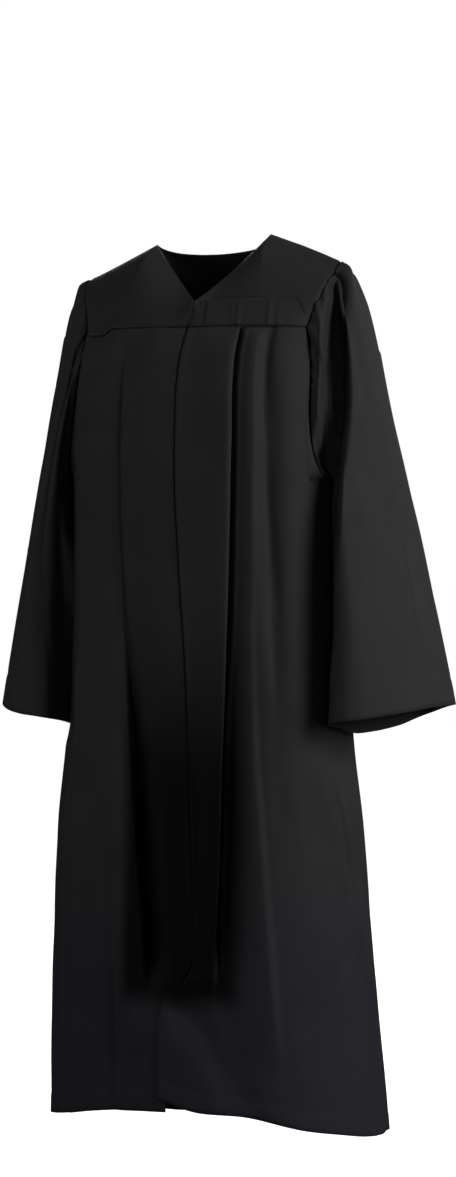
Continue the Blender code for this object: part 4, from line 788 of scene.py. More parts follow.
def crease_height(rows, across, down, across_size, down_size):
    """Sum of the creases at places of a surface; the sizes turn its places into metres."""
    total = np.zeros(np.broadcast(across, down).shape)
    for row in rows:
        run = np.array([(row.across_to - row.across) * across_size,
                        (row.down_to - row.down) * down_size])
        length = np.linalg.norm(run)
        run = run / length
        x = wrapped(across - row.across) * across_size
        y = (down - row.down) * down_size
        share = (x * run[0] + y * run[1]) / length
        beside = x * run[1] - y * run[0] - row.bow * 4 * share * (1 - share)
        rise = 1.0 if row.down > CREASE_OPEN_ABOVE else smoothstep(share / CREASE_COMES)
        rise = rise * smoothstep((1 - share) / CREASE_GOES) * (share > -CREASE_BEFORE)
        total = total + row.height * rise * side_bell(beside, row.near, row.far)
    return total


def path_height(rows, across, down, across_size, down_size):
    """Sum of the bending folds at places of a surface."""
    total = np.zeros(np.broadcast(across, down).shape)
    for row in rows:
        stops = np.arange(len(row.path))
        at = np.linspace(0, stops[-1], PATH_POINTS)
        x = curve_through(stops, [stop[0] for stop in row.path], at) * across_size
        y = curve_through(stops, [stop[1] for stop in row.path], at) * down_size
        depth = curve_through(stops, row.depths, at)
        step = unit(np.stack([np.gradient(x), np.gradient(y)], axis=-1))
        middle_x = x[PATH_POINTS // 2]
        turn = wrapped(np.asarray(across)[..., None] - middle_x / across_size)
        off_x = turn * across_size + middle_x - x
        off_y = np.asarray(down)[..., None] * down_size - y
        off_x, off_y = np.broadcast_arrays(off_x, off_y)
        nearest = np.argmin(off_x ** 2 + off_y ** 2, axis=-1)[..., None]
        off_x = np.take_along_axis(off_x, nearest, axis=-1)[..., 0]
        off_y = np.take_along_axis(off_y, nearest, axis=-1)[..., 0]
        nearest = nearest[..., 0]
        beside = off_x * step[nearest, 1] - off_y * step[nearest, 0]
        width = np.where(beside < 0, row.near, row.far)
        total = total + depth[nearest] * bell(np.hypot(off_x, off_y), width)
    return total


def seam_dip(distance):
    return -SEAM_DIP * bell(distance, SEAM_DIP_WIDTH)


def hem_fold(above):
    """The turned-up hem stands a little proud and its sewing line dips."""
    proud = HEM_STEP * smoothstep((HEM_DEPTH - above) / HEM_STEP_WIDTH)
    return proud - HEM_LINE * bell(above - HEM_DEPTH, HEM_LINE_WIDTH)


Cloth = namedtuple("Cloth", "points outward")


def as_cloth(points, inside=INSIDE, closed=False):
    """A grid of points with its unit normals, turned away from the inside."""
    if closed:
        along = np.roll(points, -1, axis=1) - np.roll(points, 1, axis=1)
    else:
        along = np.gradient(points, axis=1)
    normals = unit(np.cross(np.gradient(points, axis=0), along))
    return Cloth(points, normals * np.sign(np.sum(normals * (points - inside))))


def raised(cloth, height, inside=INSIDE, closed=False):
    """The cloth moved out by a height at each point."""
    return as_cloth(cloth.points + cloth.outward * height[..., None], inside, closed)


def with_turning(cloth, away):
    """Adds the seam allowance that lies behind the neighbour, above the first row."""
    edge, inward = cloth.points[0], -cloth.outward[1]
    rows = [edge + inward * TURNING_DEPTH * depth + away * TURNING * width
            for depth, width in TURNING_ROWS]
    points = np.concatenate([np.stack(rows), cloth.points])
    first = np.repeat(cloth.outward[1:2], len(rows), axis=0)
    return Cloth(points, np.concatenate([first, cloth.outward]))


# ---------------------------------------------------------------- panels, fine
PanelPlaces = namedtuple("PanelPlaces", "angle z top")


def fine_plan(tracks):
    """Each column as the two tracks that it lies between and its share of the way."""
    plan = []
    for here, there in zip(tracks[:-1], tracks[1:]):
        for step in range(here.columns):
            plan.append((here.name, there.name, step / here.columns))
    plan.append((tracks[-1].name, tracks[-1].name, 0.0))
    return plan


def fine_heights(top, bottom):
    share = np.linspace(0, 1, PANEL_FINE_ROWS + 1) ** ROW_BUNCHING
    return top + (bottom - top) * share


def fine_track_places(tracks, side, top_of):
    """Angles, heights and top of each column that starts at the yoke."""
    seam = np.array(YOKE_SEAM if side else BACK_SEAM)
    places = []
    for here, there, part in fine_plan(tracks):
        top = top_of(part_angle(here, there, part, side, seam))
        bottom = hem_height(part_angle(here, there, part, side, np.array(HEM)))
        z = fine_heights(top, bottom)
        places.append(PanelPlaces(part_angle(here, there, part, side, z), z, float(top)))
    return places


def left_arm_angle(share, z):
    """Ring angle of a left front column that starts at the armhole: it keeps its share of the
    cloth between the yoke's corner and the armhole's edge."""
    rise = np.clip((z - UNDERARM) / (YOKE_SEAM - UNDERARM), 0.0, 1.0)
    reached = np.arcsin((1.0 - rise) ** (LEFT_FRONT_POWER / 2)) * 2 / math.pi
    edge = armhole_angle(z, True, True)
    return FRONT_CORNER + (edge - FRONT_CORNER) * share / np.maximum(reached, share)


def fine_arm_places(side, front, turned=0.0):
    """Angles, heights and top of each column that starts at the armhole."""
    corner = FRONT_CORNER if front else BACK_CORNER
    places = []
    for share in np.arange(1, ARM_COLUMNS + 1) / ARM_COLUMNS:
        top_angle, top = lower_armhole(share, front, side)
        low_angle = corner + (math.pi / 2 - corner) * share
        z = fine_heights(top, hem_height(side * low_angle))
        if front and side > 0:
            angle = left_arm_angle(share, z)
        else:
            angle = top_angle + (low_angle - top_angle) * smoothstep((top - z) / ARM_FAN)
        places.append(PanelPlaces(side * angle + turned, z, float(top)))
    return places


def joined_places(places):
    """One grid of all columns' places."""
    angles = np.stack([column.angle for column in places], axis=1)
    heights = np.stack([column.z for column in places], axis=1)
    return PanelPlaces(angles, heights, np.array([column.top for column in places]))


def panel_cloth(places, creases):
    """Fine cloth of a body panel."""
    cloth = as_cloth(body(places.angle, places.z, places.top))
    speed = ring_normal(places.angle, places.z)[1]
    from_arm = armhole_distance(places.angle, places.z, speed)
    free = smoothstep(from_arm / FOLD_FREE)
    height = crease_height(creases, np.degrees(places.angle), places.z, DEGREE, 1.0) * free
    height = height + wave_height(places.angle * speed, places.z) * free
    height = height + seam_dip(places.top - places.z)
    height = height + seam_dip(from_arm)
    around = np.abs(wrapped(places.angle, FULL_TURN))
    below_arm = smoothstep((UNDERARM - places.z) / SIDE_DIP_FADE)
    height = height + SIDE_DIP * seam_dip((around - math.pi / 2) * speed) * below_arm
    height = height + hem_fold(places.z - places.z[-1:])
    return raised(cloth, height)


def pressed(cloth, places, side):
    """The pressed pleats, doubled under themselves."""
    outward, speed = ring_normal(places.angle, places.z)
    tangent = np.stack([-outward[..., 1], outward[..., 0], 0 * speed], axis=-1)
    points = cloth.points
    for row in (pleat for pleat in PRESSED if pleat.side == side):
        place = (places.angle - track_angle(row.line, places.z, side)) * speed
        shown = smoothstep((row.z_from - places.z) / (row.z_from - row.z_full))
        shown = row.strength * shown * smoothstep((places.z - row.z_to) / (row.z_fades - row.z_to))
        along = column_of(row.profile, "place", "along", place) * shown
        out = column_of(row.profile, "place", "out", place) * shown
        points = points + tangent * along[..., None] + outward * out[..., None]
    return as_cloth(points)


def front_places(side):
    tracks = LEFT_TRACKS if side > 0 else RIGHT_TRACKS

    def top_of(angle):
        return yoke_seam_height(seam_share(angle, side), side) - SEAM_GAP / 2

    return joined_places(fine_track_places(tracks, side, top_of) + fine_arm_places(side, True))


def placket_height(cloth, places, side):
    """The zip's stitching draws the front edge in a little, in small puckers."""
    from_edge = np.linalg.norm(cloth.points - cloth.points[:, :1], axis=-1)
    sway = PUCKER_SWAY * np.sin(places.z * PUCKER_SWAY_PACE)
    wave = np.sin(FULL_TURN * places.z / PUCKER_PITCH + sway + side)
    near = bell(from_edge - PLACKET * PLACKET_MIDDLE, PLACKET * PLACKET_SPREAD)
    line = bell(from_edge - PLACKET * PLACKET_LINE, PLACKET_LINE_WIDTH)
    shown = smoothstep((places.z - ZIP_END) / PLACKET_FADE)
    edge = LEFT_EDGE_LIFT * bell(from_edge, LEFT_EDGE_WIDTH) if side > 0 else 0.0
    return (PUCKER * wave * near - PLACKET_DEPTH * line + edge) * shown


def lap_over(cloth):
    """Below the zip the left front lifts and laps over the right one."""
    points = cloth.points
    z = points[..., 2]
    near_edge = bell(points[..., 0] - points[:, :1, 0], LAP_SPREAD)
    lift = LAP_LIFT * smoothstep((ZIP_END - z) / LAP_START) * near_edge
    moved = points + cloth.outward * lift[..., None]
    moved[..., 0] -= LAP * smoothstep((ZIP_END - LAP_START - z) / LAP_START) * near_edge
    moved[..., 2] += LAP_RISE * smoothstep((ZIP_END - z) / LAP_RISE_DEPTH) * near_edge
    return moved


def front_cloth(side):
    places = front_places(side)
    cloth = pressed(panel_cloth(places, FRONT_CREASES), places, side)
    cloth = raised(cloth, placket_height(cloth, places, side))
    if side > 0:
        cloth = as_cloth(lap_over(cloth))
    return with_turning(cloth, np.array([0.0, 0.0, 1.0]))


def back_cloth():
    middle = fine_track_places(BACK_TRACKS, 0, lambda angle: BACK_SEAM - SEAM_GAP / 2)
    left = fine_arm_places(1, False)[::-1]
    right = fine_arm_places(-1, False, FULL_TURN)
    cloth = panel_cloth(joined_places(left + middle + right), BACK_CREASES)
    return with_turning(cloth, np.array([0.0, 0.0, 1.0]))


# ---------------------------------------------------------------- yokes, fine
def yoke_finish(points, both_ends=False):
    """Fine cloth of a yoke: its lower edge is turned under and lies proud, and it dips at the
    armholes.  A front yoke's first column isn't at one."""
    ends = np.linalg.norm(points - points[:, -1:], axis=-1)
    if both_ends:
        ends = np.minimum(ends, np.linalg.norm(points - points[:, :1], axis=-1))
    down = np.linalg.norm(points - points[-1:], axis=-1)
    height = YOKE_EDGE_LIFT * bell(down, YOKE_EDGE_WIDTH)
    height = height + YOKE_WAVES * wave_height(points[..., 0], points[..., 2])
    return raised(as_cloth(points), height + seam_dip(ends))


def band_top(share):
    """Height of the band's upper edge along the left yoke."""
    return BAND_LINE - BAND_END_DROP * np.maximum(share - BAND_TURN, 0) / (BAND_TO - BAND_TURN)


def front_yoke_cloth(side):
    shares = np.linspace(0, 1, YOKE_FINE_COLUMNS + 1)
    rows = LEFT_YOKE_FINE_ROWS if side > 0 else YOKE_FINE_ROWS
    down = np.linspace(0, 1, rows + 1)[:, None]
    points = front_yoke_rib(shares[None, :], down, side)
    cloth = yoke_finish(points)
    if side < 0:
        return cloth
    above = points[..., 2] - band_top(shares)[None, :] - GROOVE_WIDTH * GROOVE_RISE
    along = smoothstep((shares - BAND_FROM) / GROOVE_FADE)
    along = along * smoothstep((BAND_TO - shares) / GROOVE_FADE)
    return raised(cloth, -GROOVE_DEPTH * bell(above, GROOVE_WIDTH) * along[None, :])


def back_yoke_cloth():
    shares = np.linspace(-1, 1, 2 * YOKE_FINE_COLUMNS + 1)
    down = np.linspace(0, 1, YOKE_FINE_ROWS + 1)[:, None]
    return yoke_finish(back_yoke_rib(shares[None, :], down), True)


def band_cloth():
    """Pleated band on the left yoke."""
    shares = np.linspace(BAND_FROM, BAND_TO, BAND_COLUMNS)
    down = np.linspace(0, 1, BAND_DENSE_ROWS)[:, None]
    dense = front_yoke_rib(shares[None, :], down, 1)
    rows = np.linspace(0, 1, BAND_ROWS)
    keys = np.arange(float(BAND_DENSE_ROWS))
    lines = []
    for share, line in zip(shares, dense.swapaxes(0, 1)):
        start = np.interp(-band_top(share), -line[:, 2], keys)
        lines.append(read_line(start + (BAND_LAST_ROW - start) * rows, keys, line))
    points = np.stack(lines, axis=1)
    pleat = sum(row.height * BAND_PLEAT_RISE
                * side_bell(shares - row.share, row.width * BAND_PLEAT_NEAR,
                            row.width * BAND_PLEAT_FAR) for row in BAND_PLEATS)
    height = SEAM_GAP + SHELL + BAND_PROUD + pleat[None, :] * np.sqrt(rows)[:, None]
    return raised(as_cloth(points), np.broadcast_to(height, points.shape[:2]))


# ---------------------------------------------------------------- sleeves, fine
ARMHOLE_YOKE_POINTS, ARMHOLE_LOWER_POINTS = 60, 120     # of the line that the columns start from
TURNING_FROM_ROW = 4        # the seam turning runs on in the direction from this row


def armhole_loop(side, stations):
    """The armhole's points at the sleeve's stations."""
    down = np.linspace(0, 1, ARMHOLE_YOKE_POINTS)
    share = np.linspace(0, 1, ARMHOLE_LOWER_POINTS)[1:]
    halves = []
    for front, low in ((True, 0.0), (False, 180.0)):
        top = front_yoke_rib(1.0, down, side) if front else back_yoke_rib(side * 1.0, down)
        angle, z = lower_armhole(share, front, side)
        line = np.concatenate([top, ring(side * angle, z)])
        line = line if front else line[::-1]
        length = travelled(line)
        here = stations[(stations >= low) & (stations < low + 180)]
        halves.append(read_line((here - low) / 180.0, length / length[-1], line))
    return np.concatenate(halves)


def row_middles(points):
    """Middle of each row of a grid, repeated for its columns."""
    return np.repeat(points.mean(axis=1, keepdims=True), points.shape[1], axis=1)


def outer_share(stations):
    """1 on a sleeve's outer side, less next to the body, where its folds are softer."""
    inner = smoothstep((-np.cos(np.radians(stations)) - CALM_FROM) / CALM_FADE)
    return 1 - CALM_SHARE * inner


def sleeve_surface(side, stations, shares):
    """Points of a sleeve: one row for each share of the way down, one column for each
    station."""
    turn = np.radians(stations)

    def handle(name, down):
        way = [column_of(RIBS, "turn", name + part, stations) for part in ("_out", "_forward")]
        way = unit(np.stack([side * way[0], -way[1], down], axis=-1))
        return way * column_of(RIBS, "turn", name + "_length", stations)[:, None]

    cuff = cuff_point(turn, side)
    fullness = CAP_FULLNESS[side] + (1 - CAP_FULLNESS[side]) * smoothstep(1 - np.cos(turn))
    leave = handle("leave", -column_of(RIBS, "turn", "leave_down", stations)) * fullness[:, None]
    start = armhole_loop(side, stations) + np.array([side * SEAM_GAP, 0, 0])
    t = np.repeat(shares[:, None], len(stations), axis=1)
    points = bezier(start, start + leave, cuff + handle("arrive", np.ones_like(turn)), cuff, t)
    points = keep_clear(points, BODY_CLEARANCE * smoothstep(t / CLEAR_FROM))
    height = np.zeros(t.shape)
    for row in GATHERS:
        offset = wrapped(stations[None, :] - row.turn - row.drift * t)
        shown = smoothstep((t - row.from_top) / GATHER_TOP_FADE)
        shown = shown * smoothstep((row.to_end - t) / GATHER_END_FADE)
        share = FOLD_SHARES[side] if SOFT_STATIONS[0] < row.turn < SOFT_STATIONS[1] else 1.0
        height += share * row.height * shown * side_bell(offset, row.near, row.far)
    outward = as_cloth(points, row_middles(points), True).outward
    return points + outward * (height * outer_share(stations))[..., None]


def eased(values):
    """The same values over a sleeve's grid, without sharp steps."""
    for _ in range(GAP_SMOOTHING):
        values = (np.roll(values, 1, axis=1) + 2 * values + np.roll(values, -1, axis=1)) / 4
        padded = np.concatenate([values[:1], values, values[-1:]])
        values = (padded[:-2] + 2 * padded[1:-1] + padded[2:]) / 4
    return values


def deep_gap(points, turn, t):
    """How far back the left sleeve's deep fold goes at its points."""
    view = np.array([math.cos(CAMERA_TURN), math.sin(CAMERA_TURN), 0.0])
    across = points @ view
    left, right = (column_of(LEFT_GAP, "z", name, points[..., 2]) for name in ("left", "right"))
    open_here = smoothstep((across - left + GAP_SOFT_LEFT / 2) / GAP_SOFT_LEFT)
    open_here = open_here * smoothstep((right + GAP_SOFT_RIGHT / 2 - across) / GAP_SOFT_RIGHT)
    comes, full, goes, gone = GAP_STATIONS
    front = smoothstep((turn - comes) / (full - comes)) * smoothstep((gone - turn) / (gone - goes))
    opens = smoothstep(t / GAP_OPENS)
    return eased(GAP_DEPTH * open_here * front * opens) * opens


def clear_of_cloth(points, clearance):
    """Clear of the body, but free to go in through the left armhole, where there is no cloth."""
    kept = keep_clear(points, clearance)
    z = points[..., 2]
    half_width, middle_x, middle_y = plan_at(z)
    ahead = middle_y - points[..., 1]
    reach = plan_reach(middle_y, z, ahead > 0)
    turn = np.arctan2(signed_power((points[..., 0] - middle_x) / half_width, RING_POWER / 2),
                      signed_power(ahead / reach, RING_POWER / 2))
    opening = smoothstep((turn - armhole_angle(z, True, True)) / ARMHOLE_SOFT)
    opening = opening * smoothstep((armhole_angle(z, False) - turn) / ARMHOLE_SOFT)
    return kept + (points - kept) * eased(opening)[..., None]


def head_puckers(turn, t, side):
    """Small puckers where the sleeve head is gathered."""
    sway = HEAD_SWAY * np.sin(turn * HEAD_SWAY_COUNT + side)
    pucker = np.sin(turn * HEAD_PUCKER_COUNT + sway) * (np.cos(turn) > HEAD_PUCKER_COSINE)
    return HEAD_PUCKER * pucker * bell(t - HEAD_PUCKER_AT, HEAD_PUCKER_WIDTH)


def sleeve_cloth(side):
    stations = np.linspace(0, 360, SLEEVE_FINE_COLUMNS + 1)[:-1]
    shares = np.linspace(0, 1, SLEEVE_FINE_ROWS[side] + 1) ** SLEEVE_BUNCHING
    points = sleeve_surface(side, stations, shares)
    middles = row_middles(points)
    away = unit(points[0] - points[TURNING_FROM_ROW])
    t = shares[:, None]
    turn = stations[None, :]
    sizes = (STATION_DEGREE, SLEEVE_LENGTH)
    creases = SLEEVE_CREASES + (LEFT_SLEEVE_CREASES if side > 0 else RIGHT_SLEEVE_CREASES)
    height = crease_height(creases, turn, t, *sizes)
    if side > 0:
        points = points + deep_gap(points, turn, t)[..., None] * np.array(GAP_WAY)
        points = clear_of_cloth(points, BODY_CLEARANCE * smoothstep(t / CLEAR_FROM))
        height = height + path_height(LEFT_SLEEVE_PATHS, turn, t, *sizes)
    height = height + wave_height(turn * STATION_DEGREE, t * SLEEVE_LENGTH)
    height = height + head_puckers(np.radians(turn), t, side)
    height = height * outer_share(turn) + seam_dip(t * SLEEVE_LENGTH)
    height = height + hem_fold((1 - t) * SLEEVE_LENGTH)
    cloth = raised(as_cloth(points, middles, True), height, middles, True)
    return with_turning(cloth, away)


# ---------------------------------------------------------------- meshes
UV_NAME = "cloth"
STITCH_PITCH = 0.0030
STITCH_LENGTH = 0.0022
STITCH_RADIUS = 0.00022
STITCH_SIDES = 5
# A stitch's rings: their places as shares of its length, and their size and rise of its radius
STITCH_RINGS = ((-0.5, 0.25, -0.6), (-0.3, 1.0, 0.35), (0.3, 1.0, 0.35), (0.5, 0.25, -0.6))
WAY_REACH = 0.2             # a line's direction is measured over this share of the pitch


def add_mesh(name, vertices, faces, material, uv=None):
    mesh = bpy.data.meshes.new(name)
    mesh.from_pydata(np.asarray(vertices, dtype=float).tolist(), [], faces)
    mesh.update()
    mesh.shade_smooth()
    item = bpy.data.objects.new(name, mesh)
    mesh.materials.append(material)
    if uv is not None:
        layer = mesh.uv_layers.new(name=UV_NAME)
        corner = np.empty(len(mesh.loops), dtype=np.int32)
        mesh.loops.foreach_get("vertex_index", corner)
        layer.data.foreach_set("uv", np.asarray(uv, dtype=np.float32)[corner].ravel())
    bpy.context.scene.collection.objects.link(item)
    return item


def grid_quads(rows, columns, closed):
    """Faces of a grid of vertices; a closed one joins its last column to the first."""
    row = np.arange(rows - 1)[:, None] * columns
    here = np.arange(columns if closed else columns - 1)[None, :]
    there = (here + 1) % columns
    quads = [row + here, row + there, row + columns + there, row + columns + here]
    return np.stack(quads, axis=-1).reshape(-1, 4)


def edge_loops(rows, columns, closed):
    """Vertices along each edge of a grid."""
    top = np.arange(columns)
    bottom = top + (rows - 1) * columns
    if closed:
        return [np.append(top[::-1], top[-1]), np.append(bottom, bottom[0])]
    left = np.arange(rows) * columns
    return [top[::-1], bottom, left[::-1] + columns - 1, left]


def cloth_shell(name, cloth, material, closed=False, wall=SHELL):
    """Closed piece of cloth: the outer grid, the inner one, and rounded edges between them."""
    rows, columns = cloth.points.shape[:2]
    count = rows * columns
    outer = tilted(cloth.points)
    inner = tilted(cloth.points - cloth.outward * wall)
    vertices = np.concatenate([outer.reshape(-1, 3), inner.reshape(-1, 3)])
    normals = cloth.outward.reshape(-1, 3)
    uv = np.stack([travelled(cloth.points.swapaxes(0, 1)).T, -cloth.points[..., 2]], axis=-1)
    uv = np.concatenate([uv.reshape(-1, 2)] * 2)
    quads = grid_quads(rows, columns, closed)
    faces = [quads, quads[:, ::-1] + count]
    ridges, ridge_uv = [], []
    start = 2 * count
    for loop in edge_loops(rows, columns, closed):
        middle = (vertices[loop] + vertices[loop + count]) / 2
        away = unit(np.cross(normals[loop], np.gradient(middle, axis=0)))
        side = edge_side(loop, rows, columns, middle, away, outer)
        ridges.append(middle + away * wall * EDGE_ROUND * side)
        ridge_uv.append(uv[loop])
        at = start + np.arange(len(loop))
        faces.append(np.stack([loop[:-1], loop[1:], at[1:], at[:-1]], axis=-1))
        faces.append(np.stack([at[:-1], at[1:], loop[1:] + count, loop[:-1] + count], axis=-1))
        start += len(loop)
    vertices = np.concatenate([vertices] + ridges)
    uv = np.concatenate([uv] + ridge_uv)
    return add_mesh(name, vertices, np.concatenate(faces).tolist(), material, uv)


def edge_side(loop, rows, columns, middle, away, outer):
    """+1 where the away direction leaves the cloth, -1 where it enters it."""
    half = len(loop) // 2
    row, column = divmod(int(loop[half]), columns)
    if row in (0, rows - 1) and abs(int(loop[0]) - int(loop[1])) == 1:
        row = 1 if row == 0 else rows - 2
    else:
        column = 1 if column == 0 else columns - 2
    return -1.0 if np.dot(away[half], outer[row, column] - middle[half]) > 0 else 1.0


def add_prism(vertices, faces, rings):
    """Adds a closed piece that runs through rings of points, with flat ends."""
    base, count = len(vertices), len(rings[0])
    last = base + count * (len(rings) - 1)
    for points in rings:
        vertices.extend(points)
    for low in range(base, last, count):
        for k in range(count):
            there = (k + 1) % count
            faces.append((low + k, low + there, low + count + there, low + count + k))
    faces.append(tuple(range(base, base + count))[::-1])
    faces.append(tuple(range(last, last + count)))


def stitches(name, lines, material):
    """Rows of short thread stitches along lines of cloth points with normals."""
    turns = np.arange(STITCH_SIDES) / STITCH_SIDES * 2 * math.pi
    vertices, faces = [], []
    for line, normals in lines:
        length = travelled(line)
        at = np.arange(STITCH_PITCH / 2, length[-1], STITCH_PITCH)
        reach = STITCH_PITCH * WAY_REACH
        places = read_line(at, length, line)
        ways = unit(read_line(at + reach, length, line) - read_line(at - reach, length, line))
        row = at / length[-1] * (len(line) - 1)
        ups = unit(read_line(row, np.arange(len(line)), normals))
        sides = unit(np.cross(ways, ups))
        for place, way, up, across in zip(places, ways, ups, sides):
            rings = []
            for along, wide, high in STITCH_RINGS:
                centre = place + way * along * STITCH_LENGTH + up * high * STITCH_RADIUS
                rings.append([centre + (across * math.cos(turn) + up * math.sin(turn))
                              * wide * STITCH_RADIUS for turn in turns])
            add_prism(vertices, faces, rings)
    return add_mesh(name, vertices, faces, material)


def hem_line(cloth):
    """Line of a hem's stitches, with its normals."""
    length = travelled(cloth.points[::-1])
    points, normals = [], []
    for column in range(length.shape[1]):
        at = np.interp(HEM_DEPTH, length[:, column], np.arange(len(length)))
        low = int(at)
        share = at - low
        for source, lines in ((cloth.points, points), (cloth.outward, normals)):
            line = source[::-1, column]
            lines.append(line[low] * (1 - share) + line[low + 1] * share)
    return tilted(points), np.array(normals)


# ---------------------------------------------------------------- materials
ROUGHNESS = 0.62
SHEEN_ROUGHNESS = 0.45
WAVE_PERIOD = 6.2832 / 20   # metres between a wave texture's bands at scale 1
TINT_FULL, TINT_FROM = -1.06, -0.88     # heights between which the lower cloth's tint comes in

# Painted shade: in the middle of the front, above the zip's end, the cloth's colour is darkened
# to stand in for the shade between the front's deep pleats: in x, y and z, each with the place
# where it comes in, is full, starts to go and is gone, and the share of its colour that it keeps
PAINTED_SHADE_X = (-0.088, -0.062, 0.080, 0.122)
PAINTED_SHADE_Y = (-0.40, -0.30, -0.07, -0.03)
PAINTED_SHADE_Z = (-1.112, -1.066, -0.800, -0.500)
PAINTED_SHADE_KEEPS = 0.05


class Graph:
    """A new material with a Principled BSDF, and short ways to add and link its nodes."""

    def __init__(self, name, values):
        self.material = bpy.data.materials.new(name)
        self.material.use_nodes = True
        self.shader = self.material.node_tree.nodes["Principled BSDF"]
        for key, value in values.items():
            self.shader.inputs[key].default_value = value

    def link(self, socket, node, key):
        self.material.node_tree.links.new(socket, node.inputs[key])

    def node(self, kind, sources, values, **settings):
        """A node with its settings, the sockets that feed it and its other inputs' values."""
        node = self.material.node_tree.nodes.new("ShaderNode" + kind)
        for key, value in settings.items():
            setattr(node, key, value)
        for key, value in values.items():
            node.inputs[key].default_value = value
        for key, socket in sources.items():
            self.link(socket, node, key)
        return node

    def place(self):
        return self.node("TexCoord", {}, {}).outputs["Object"]

    def product(self, first, second):
        return self.node("Math", {0: first, 1: second}, {}, operation="MULTIPLY").outputs[0]

    def map_range(self, value, ends, **settings):
        return self.node("MapRange", {"Value": value}, ends, **settings).outputs["Result"]


def cloth_material(name, colour, low_colour=None, deep=False, thread=0.00045, grain=0.35,
                   sheen=0.02, specular=0.12):
    """Woven cloth: fine threads both ways, slight slubs and unevenness, and a soft sheen."""
    graph = Graph(name, {"Roughness": ROUGHNESS, "Specular IOR Level": specular,
                         "Sheen Weight": sheen, "Sheen Roughness": SHEEN_ROUGHNESS})
    place = graph.place()
    cut_place = graph.node("UVMap", {}, {}, uv_map=UV_NAME).outputs["UV"]
    weave_values = {"Scale": WAVE_PERIOD / thread, "Distortion": 0.6, "Detail": 1.0}
    warp, weft = (graph.node("TexWave", {"Vector": cut_place}, weave_values, wave_type="BANDS",
                             bands_direction=direction).outputs["Fac"] for direction in "XY")
    threads = graph.node("Math", {0: warp, 1: weft}, {}, operation="MAXIMUM")
    uneven = graph.node("TexNoise", {"Vector": place},
                        {"Scale": 14.0, "Detail": 6.0, "Roughness": 0.62})
    shade = graph.map_range(uneven.outputs["Fac"], {"To Min": 0.80, "To Max": 1.22})
    # deep adds painted shade: the colour is darkened in the middle of the front, standing in for
    # the shade between the pleats
    if deep:
        shade = painted_front_shade(graph, place, shade)
    mixed = graph.node("Mix", {7: shade}, {0: 1.0, 6: (*colour, 1.0)}, data_type="RGBA",
                       blend_type="MULTIPLY")
    if low_colour is not None:
        graph.link(low_tint(graph, place, colour, low_colour), mixed, 6)
    graph.link(mixed.outputs[2], graph.shader, "Base Color")
    fine = graph.node("Bump", {"Height": threads.outputs[0]},
                      {"Strength": grain, "Distance": 0.00012})
    soft = graph.node("TexNoise", {"Vector": place}, {"Scale": 32.0, "Detail": 3.0})
    crumple = graph.node("Bump", {"Height": soft.outputs["Fac"], "Normal": fine.outputs["Normal"]},
                         {"Strength": 0.25, "Distance": 0.0016})
    graph.link(crumple.outputs["Normal"], graph.shader, "Normal")
    return graph.material


def low_tint(graph, place, colour, low_colour):
    """The lower skirt's slightly bluer cloth, by height."""
    height = graph.node("SeparateXYZ", {0: place}, {}).outputs["Z"]
    share = graph.map_range(height, {"From Min": TINT_FROM, "From Max": TINT_FULL})
    return graph.node("Mix", {0: share}, {6: (*colour, 1.0), 7: (*low_colour, 1.0)},
                      data_type="RGBA").outputs[2]


def ramp(graph, value, places):
    """Smoothly 0 to 1 to 0 over four places."""
    comes, full, goes, gone = places
    rise, fall = (graph.map_range(value, {"From Min": low, "From Max": high},
                                  interpolation_type="SMOOTHSTEP")
                  for low, high in ((comes, full), (gone, goes)))
    return graph.product(rise, fall)


def painted_front_shade(graph, place, tone):
    """The cloth's unevenness, with painted shade: darker in the middle of the front, where shade
    falls between the deep pleats.
    """
    axes = graph.node("SeparateXYZ", {0: place}, {}).outputs
    share = ramp(graph, axes["X"], PAINTED_SHADE_X)
    share = graph.product(share, ramp(graph, axes["Y"], PAINTED_SHADE_Y))
    share = graph.product(share, ramp(graph, axes["Z"], PAINTED_SHADE_Z))
    return graph.product(tone, graph.map_range(share, {"To Min": 1.0, "To Max": PAINTED_SHADE_KEEPS}))


def metal_material(name, colour, roughness):
    """Dark enamelled metal, with fine wear in its gloss and colour."""
    graph = Graph(name, {"Metallic": 0.85})
    wear = graph.node("TexNoise", {"Vector": graph.place()}, {"Scale": 420.0, "Detail": 5.0})
    rough = graph.map_range(wear.outputs["Fac"],
                            {"To Min": roughness - 0.08, "To Max": roughness + 0.14})
    graph.link(rough, graph.shader, "Roughness")
    tone = graph.node("ValToRGB", {"Fac": wear.outputs["Fac"]}, {})
    for element, share in zip(tone.color_ramp.elements, (0.7, 1.3)):
        element.color = (*(c * share for c in colour), 1.0)
    graph.link(tone.outputs["Color"], graph.shader, "Base Color")
    return graph.material


def floor_material():
    return Graph("pale_floor", {"Base Color": (0.5, 0.5, 0.5, 1.0), "Roughness": 0.9,
                                "Specular IOR Level": 0.1, "Emission Strength": 1.0,
                                "Emission Color": (1.0, 1.0, 1.0, 1.0)}).material


# ---------------------------------------------------------------- the zip
SLIDER_BELOW_V = 0.0085     # the teeth start here
TOOTH_PITCH = 0.0026
TOOTH_SIZE = (0.0019, 0.0011, 0.0013)   # across, out and along
TOOTH_DEPTH = 0.0009        # behind the cloth's outer face
TOOTH_ASIDE = 0.72          # of half its width, from the zip's middle
TOOTH_RINGS = ((-1.0, 0.55), (-0.7, 1.0), (0.6, 1.0), (1.0, 0.5))   # places and sizes across it
TOOTH_CORNERS = ((-1, -1), (1, -1), (1, 1), (-1, 1))
TEETH_END = 0.002           # they stop this far before the zip's end
TAPE_WALL = 0.0005
TAPE_WIDTH = 0.0110
TAPE_EDGE = 0.0009          # from the zip's middle
TAPE_DEPTH = 0.0021         # tape's face behind the cloth's outer face
TAPE_LEAN = 0.0006          # its outer edge lies this much deeper
TAPE_COLUMNS = 6
ZIP_YOKE_POINTS, ZIP_POINTS = 40, 420


